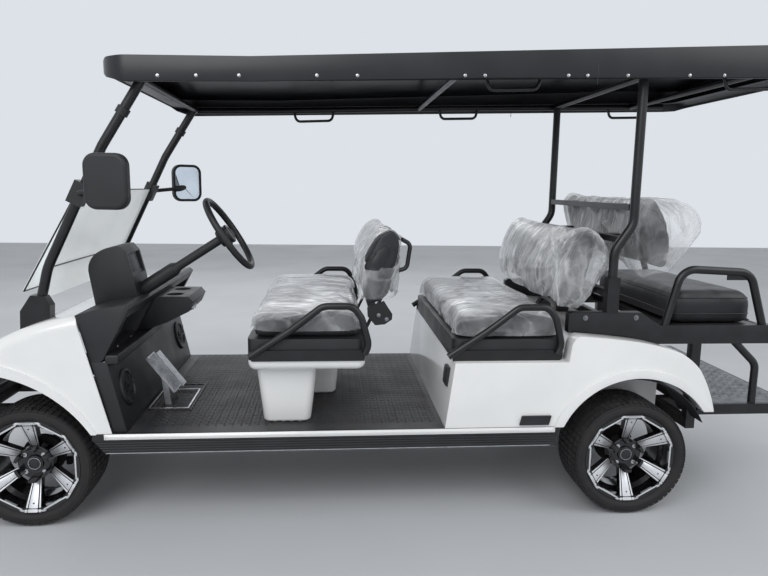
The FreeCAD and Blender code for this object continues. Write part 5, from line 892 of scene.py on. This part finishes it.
STEERING_AXLE = Vector((-0.83867, 0, 0.54464))
STEERING_CENTRE = Vector((0.622, 0.27, 1.149))


def make_steering_pad():
    """The round pad over the steering wheel's hub, its face sunk a little."""
    pad = rod("steering_pad", STEERING_CENTRE + STEERING_AXLE * 0.006, 0.042, 0.016, STEERING_AXLE, 0.005, 40)
    panel(pad, lambda place, way: way.dot(STEERING_AXLE) > 0.99, 0.012, STEERING_AXLE * -0.002)
    settle(pad, "steering", black_abs)


ROOF_SCREWS_X = [0.809, 0.672, 0.518, 0.235, 0.085, -0.319, -0.395, -0.717, -0.792, -0.951, -1.198, -1.338]
ROOF_SCREWS_HEIGHT, ROOF_FALL = 1.7684, 0.0278


def make_roof_trim():
    """Screws along the roof's edge, and the joint between its two halves."""
    screws = []
    for x in ROOF_SCREWS_X:
        for side in (1, -1):
            height = ROOF_SCREWS_HEIGHT - ROOF_FALL * x
            place, way = surface("roof", (x, side * BESIDE, height), (0, -side, 0))
            screws.append(pan_screw("roof_screw", place, way, 0.0042))
    settle(joined("roof_screws", screws), "chassis", bright_steel)
    joints = []
    for side in (1, -1):
        place, _ = surface("roof", (-0.832, side * BESIDE, 1.79), (0, -side, 0))
        joints.append(block("roof_joint", place + Vector((-0.0015, -0.001, -0.03)),
                            place + Vector((0.0015, 0.001, 0.045)), 0.0005))
    settle(joined("roof_joints", joints), "chassis", black_abs)


def make_glazing_trim():
    """Rubber edges of the windscreen's panes, and the mirrors' glass."""
    for number, node in enumerate(("windscreen_lower", "windscreen_upper")):
        rim = edging(node, f"screen_edge_{number + 1}", lambda place, way: way.x < -0.2, 0.0035)
        settle(rim, "chassis", black_abs, 60)
    for label, side in (("left", 1), ("right", -1)):
        glass = largest_face("mirrors", f"mirror_glass_{label}",
                             lambda place, way: place.y * side > 0.5 and way.x < -0.1, 0.006)
        thickened(glass, 0.0015)
        settle(glass, "chassis", mirror_glass)


def make_floor_mat():
    """Raised lozenges over the floor mat."""
    low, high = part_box("floor_plate")
    mat = lozenges("floor_mat_lozenges", (low.x + 0.02, low.y + 0.02), (high.x - 0.01, high.y - 0.02), high.z,
                   0.034, 0.024, 0.0016)
    settle(mat, "chassis", floor_rubber, 20)


def make_footrest_plate():
    """A chequer plate laid in the footrest's black frame."""
    place, _ = surface("footrest", (-1.62, 0.0, 0.66), (0, 0, -1))
    low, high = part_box("footrest")
    raised = lozenges("footrest_lozenges", (low.x + 0.02, low.y + 0.02), (place.x + 0.14, high.y - 0.02),
                      place.z, 0.044, 0.032, 0.002)
    sheet = block("footrest_sheet", (low.x + 0.012, low.y + 0.012, place.z),
                  (place.x + 0.15, high.y - 0.012, place.z + 0.0008), 0)
    settle(joined("footrest_lozenges", [raised, sheet]), "chassis", chequer_plate, 20)
    coat(NODES["footrest"], black_tube)


def make_hatch_frame():
    """The flat steel frame round the hatch in the floor."""
    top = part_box("floor_plate")[1].z
    hatch = primitive("hatch_frame", "plane", (0.885, 0.20, top + 0.0015), (0.175, 0.27, 1), size=1)
    pick(hatch, everything)
    bpy.ops.mesh.inset(thickness=0.008)
    bpy.ops.mesh.delete(type="FACE")
    settle(thickened(hatch, 0.004, 0.001), "chassis", pedal_steel)


def make_pedal_tread():
    """Raised squares on the face of the larger pedal."""
    pad = largest_face("pedals", "pedal_tread", lambda place, way: way.x < -0.2, 0.006)
    pick(pad, everything)
    bpy.ops.mesh.quads_convert_to_tris()
    bpy.ops.mesh.tris_convert_to_quads()
    bpy.ops.mesh.subdivide(number_cuts=13)
    bpy.ops.mesh.inset(thickness=0.0016, use_individual=True)
    bpy.ops.mesh.extrude_region_shrink_fatten(TRANSFORM_OT_shrink_fatten={"value": 0.002})
    settle(pad, "chassis", pedal_steel, 20)


def make_side_trim():
    """The white strip and bright foot of each rocker, and the blank black badge on each side of the body."""
    low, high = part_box("rockers")
    for label, side in (("left", 1), ("right", -1)):
        strip = block(f"sill_strip_{label}", (low.x + 0.01, 0.590, 0.3645), (high.x - 0.045, 0.6036, 0.3885),
                      0.003)
        panel(strip, lambda place, way: way.y > 0.9, 0.010, (0, -0.0012, 0))
        foot = block(f"sill_foot_{label}", (low.x + 0.03, 0.594, 0.3075), (high.x - 0.05, 0.6032, 0.3115),
                     0.001)
        badge = block(f"blank_badge_{label}", (-0.714, 0.604, 0.400), (-0.590, 0.6125, 0.440), 0.002)
        pick(badge, lambda place, way: place.z > 0.42, "VERT")
        bpy.ops.transform.translate(value=(-0.009, 0, 0))
        panel(badge, lambda place, way: way.y > 0.9, 0.003, (0, -0.0008, 0))
        for piece, finish, slot in ((strip, white_shell, "body_white"), (foot, bright_steel, None),
                                    (badge, black_abs, "black_moulding")):
            lone(piece)
            if side < 0:
                piece.data.transform(MIRRORED)
                piece.data.flip_normals()
            settle(piece, "chassis", finish)


BENCH_FEET = [
    # back and front ends in X at the top, the same at the foot, low and high side in Y
    ((0.241, 0.485), (0.266, 0.460), (0.33, 0.50)),
    ((0.139, 0.333), (0.159, 0.313), (-0.13, 0.13)),
    ((0.241, 0.485), (0.266, 0.460), (-0.50, -0.33)),
]
BENCH_FOOT_LOW, BENCH_FOOT_HIGH = 0.389, 0.598


def bench_foot(top, foot, sides):
    """One tapered foot, flared where it runs out into the shelf."""
    leg = tapered_block("bench_foot", lambda front, left, raised: (
        (top if raised else foot)[front], sides[left], BENCH_FOOT_HIGH if raised else BENCH_FOOT_LOW))
    pick(leg, lambda place, way: abs(way.z) > 0.8, "EDGE")
    bevel(0.034, 6)
    pick(leg, lambda place, way: place.z < BENCH_FOOT_LOW + 0.0005 and abs(way.z) < 0.1, "EDGE")
    bevel(0.014, 4)
    pick(leg, lambda place, way: way.z > 0.9)
    for rise, flare in ((0.012, 1.012), (0.010, 1.035), (0.008, 1.06)):
        extrude((0, 0, rise))
        bpy.ops.transform.resize(value=(flare, flare, 1),
                                 center_override=(sum(top) / 2, sum(sides) / 2, BENCH_FOOT_HIGH))
    return lone(leg)


def make_bench_base():
    """The front bench's white moulding: a shelf with a soft lower edge on three tapered feet."""
    shelf = primitive("bench_shelf", "cube", (0.278, 0, 0.649), (0.47, 1.14, 0.042), size=1)
    pick(shelf, lambda place, way: abs(way.z) > 0.9, "EDGE")
    bevel(0.035, 6)
    pick(shelf, lambda place, way: place.z < 0.6285 and abs(way.z) < 0.1, "EDGE")
    bevel(0.030, 6)
    pieces = [lone(shelf)] + [bench_foot(*measures) for measures in BENCH_FEET]
    base = settle(joined("bench_base", pieces), "chassis", white_shell, 50)
    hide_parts("front_bench_base")


def make_arch_shade_strips():
    """Black strips inside the rear wheel arches, as painted shade: they darken the arches' roofs so that no
    white wall shows behind a tyre.
    """
    for corner, side in (("rear_left", 1), ("rear_right", -1)):
        low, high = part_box("tyre_" + corner)
        middle = (low + high) / 2
        roof_of_arch, _ = surface("rear_body", (middle.x, side * 0.50, middle.z), (0, 0, 1))
        radius = roof_of_arch.z - middle.z - 0.004
        shade_strip = spun("arch_shade_strip_" + corner, [
            (-0.10, radius), (0.095, radius), (0.095, radius - 0.003), (-0.10, radius - 0.003)], 72)
        shade_strip.data.transform(Matrix.Translation((middle.x, side * 0.505, middle.z)))
        pick(shade_strip, everything)
        bpy.ops.mesh.bisect(plane_co=(middle.x, 0, 0.395), plane_no=(0, 0, 1), clear_inner=True)
        settle(shade_strip, "chassis", black_abs, 40)


def make_dash_details():
    """The dash's screws, its lower lip, and the bars across the speakers."""
    screws = []
    for y in (0.44, 0.26, 0.06, -0.16, -0.38):
        place, way = surface("dash", (0.55, y, 0.70), (1, 0, 0))
        screws.append(pan_screw("dash_screw", place, way, 0.005))
    settle(joined("dash_screws", screws), "chassis", bright_steel)
    lip = block("dash_lip", (1.002, -0.586, 0.664), (1.056, 0.586, 0.702), 0.008, 4)
    settle(lip, "chassis", black_abs)
    low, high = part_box("speakers")
    bars = []
    for side in (1, -1):
        place, _ = surface("speakers", (0.6, side * (abs(low.y) - 0.075), (low.z + high.z) / 2), (1, 0, 0))
        for number in range(4):
            bar = block("speaker_bar", (-0.0012, -0.062, -0.0022), (0.0012, 0.062, 0.0022), 0.0006)
            bar.data.transform(Matrix.Translation(place - Vector((0.004, 0, 0)))
                               @ Matrix.Rotation(math.radians(45 * number), 4, "X"))
            bars.append(bar)
    settle(joined("speaker_bars", bars), "chassis", black_abs)


def make_lamps():
    """A bright bowl behind each headlight's lens."""
    low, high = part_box("headlights")
    for label, side in (("left", 1), ("right", -1)):
        middle = Vector(((low.x + high.x) / 2 + 0.02, side * (high.y - 0.055), (low.z + high.z) / 2))
        bowl = spun(f"headlight_bowl_{label}", [
            (0.030, 0.046), (0.012, 0.040), (-0.006, 0.026), (-0.014, 0.008),
            (-0.016, 0.008), (-0.008, 0.028), (0.010, 0.0425), (0.029, 0.0485)], 40)
        bowl.data.transform(Matrix.Translation(middle) @ Matrix.Rotation(-math.pi / 2, 4, "Z"))
        settle(bowl, "chassis", bright_steel, 40)


make_wheels()
make_films(make_seats())
make_roof_trim()
make_glazing_trim()
make_floor_mat()
make_footrest_plate()
make_hatch_frame()
make_pedal_tread()
make_side_trim()
make_bench_base()
make_arch_shade_strips()
make_dash_details()
make_lamps()
make_belts()
make_fixings()
make_console()
make_steering_pad()
round_edges()


# Studio

LAMPS = [
    # place, size, power in watts
    ((2.5, 5.5, 5.0), 5.0, 230),
    ((-4.5, 3.0, 4.5), 4.0, 100),
    ((1.0, -5.0, 5.0), 5.0, 110),
]
LAMPS_AIM = Vector((0, 0, 0.8))


def make_studio():
    """A pale floor, an even pale surround and three large soft lamps."""
    world = bpy.data.worlds.new("studio")
    bpy.context.scene.world = world
    world.use_nodes = True
    tree = world.node_tree
    tree.nodes.clear()
    path = add_node(tree, "ShaderNodeLightPath")
    seen = add_node(tree, "ShaderNodeMath", {
        0: path.outputs["Is Camera Ray"], 1: path.outputs["Is Glossy Ray"]}, operation="MAXIMUM")
    through = add_node(tree, "ShaderNodeMath", {
        0: seen.outputs[0], 1: path.outputs["Is Transmission Ray"]}, operation="MAXIMUM")
    lighting = add_node(tree, "ShaderNodeBackground", {"Color": linear("#F4F6FA"), "Strength": 0.52})
    backdrop = add_node(tree, "ShaderNodeBackground", {"Color": linear("#DDE2E8"), "Strength": 1.0})
    both = add_node(tree, "ShaderNodeMixShader", {
        0: through.outputs[0], 1: lighting.outputs[0], 2: backdrop.outputs[0]})
    add_node(tree, "ShaderNodeOutputWorld", {"Surface": both.outputs[0]})
    bpy.ops.mesh.primitive_plane_add(size=24, location=(0, 0, 0))
    floor = bpy.context.object
    floor.name = "studio_floor"
    floor.data.materials.append(grained("pale_floor", "#C9CCCF", "#C3C6C9", 0.6, 12, 0.05, 900))
    for place, size, watts in LAMPS:
        bpy.ops.object.light_add(type="AREA", location=place)
        lamp = bpy.context.object
        lamp.data.size = size
        lamp.data.energy = watts
        lamp.rotation_euler = (LAMPS_AIM - Vector(place)).to_track_quat("-Z", "Y").to_euler()
    bpy.context.scene.view_settings.view_transform = "Standard"


make_studio()


bpy.context.view_layer.update()
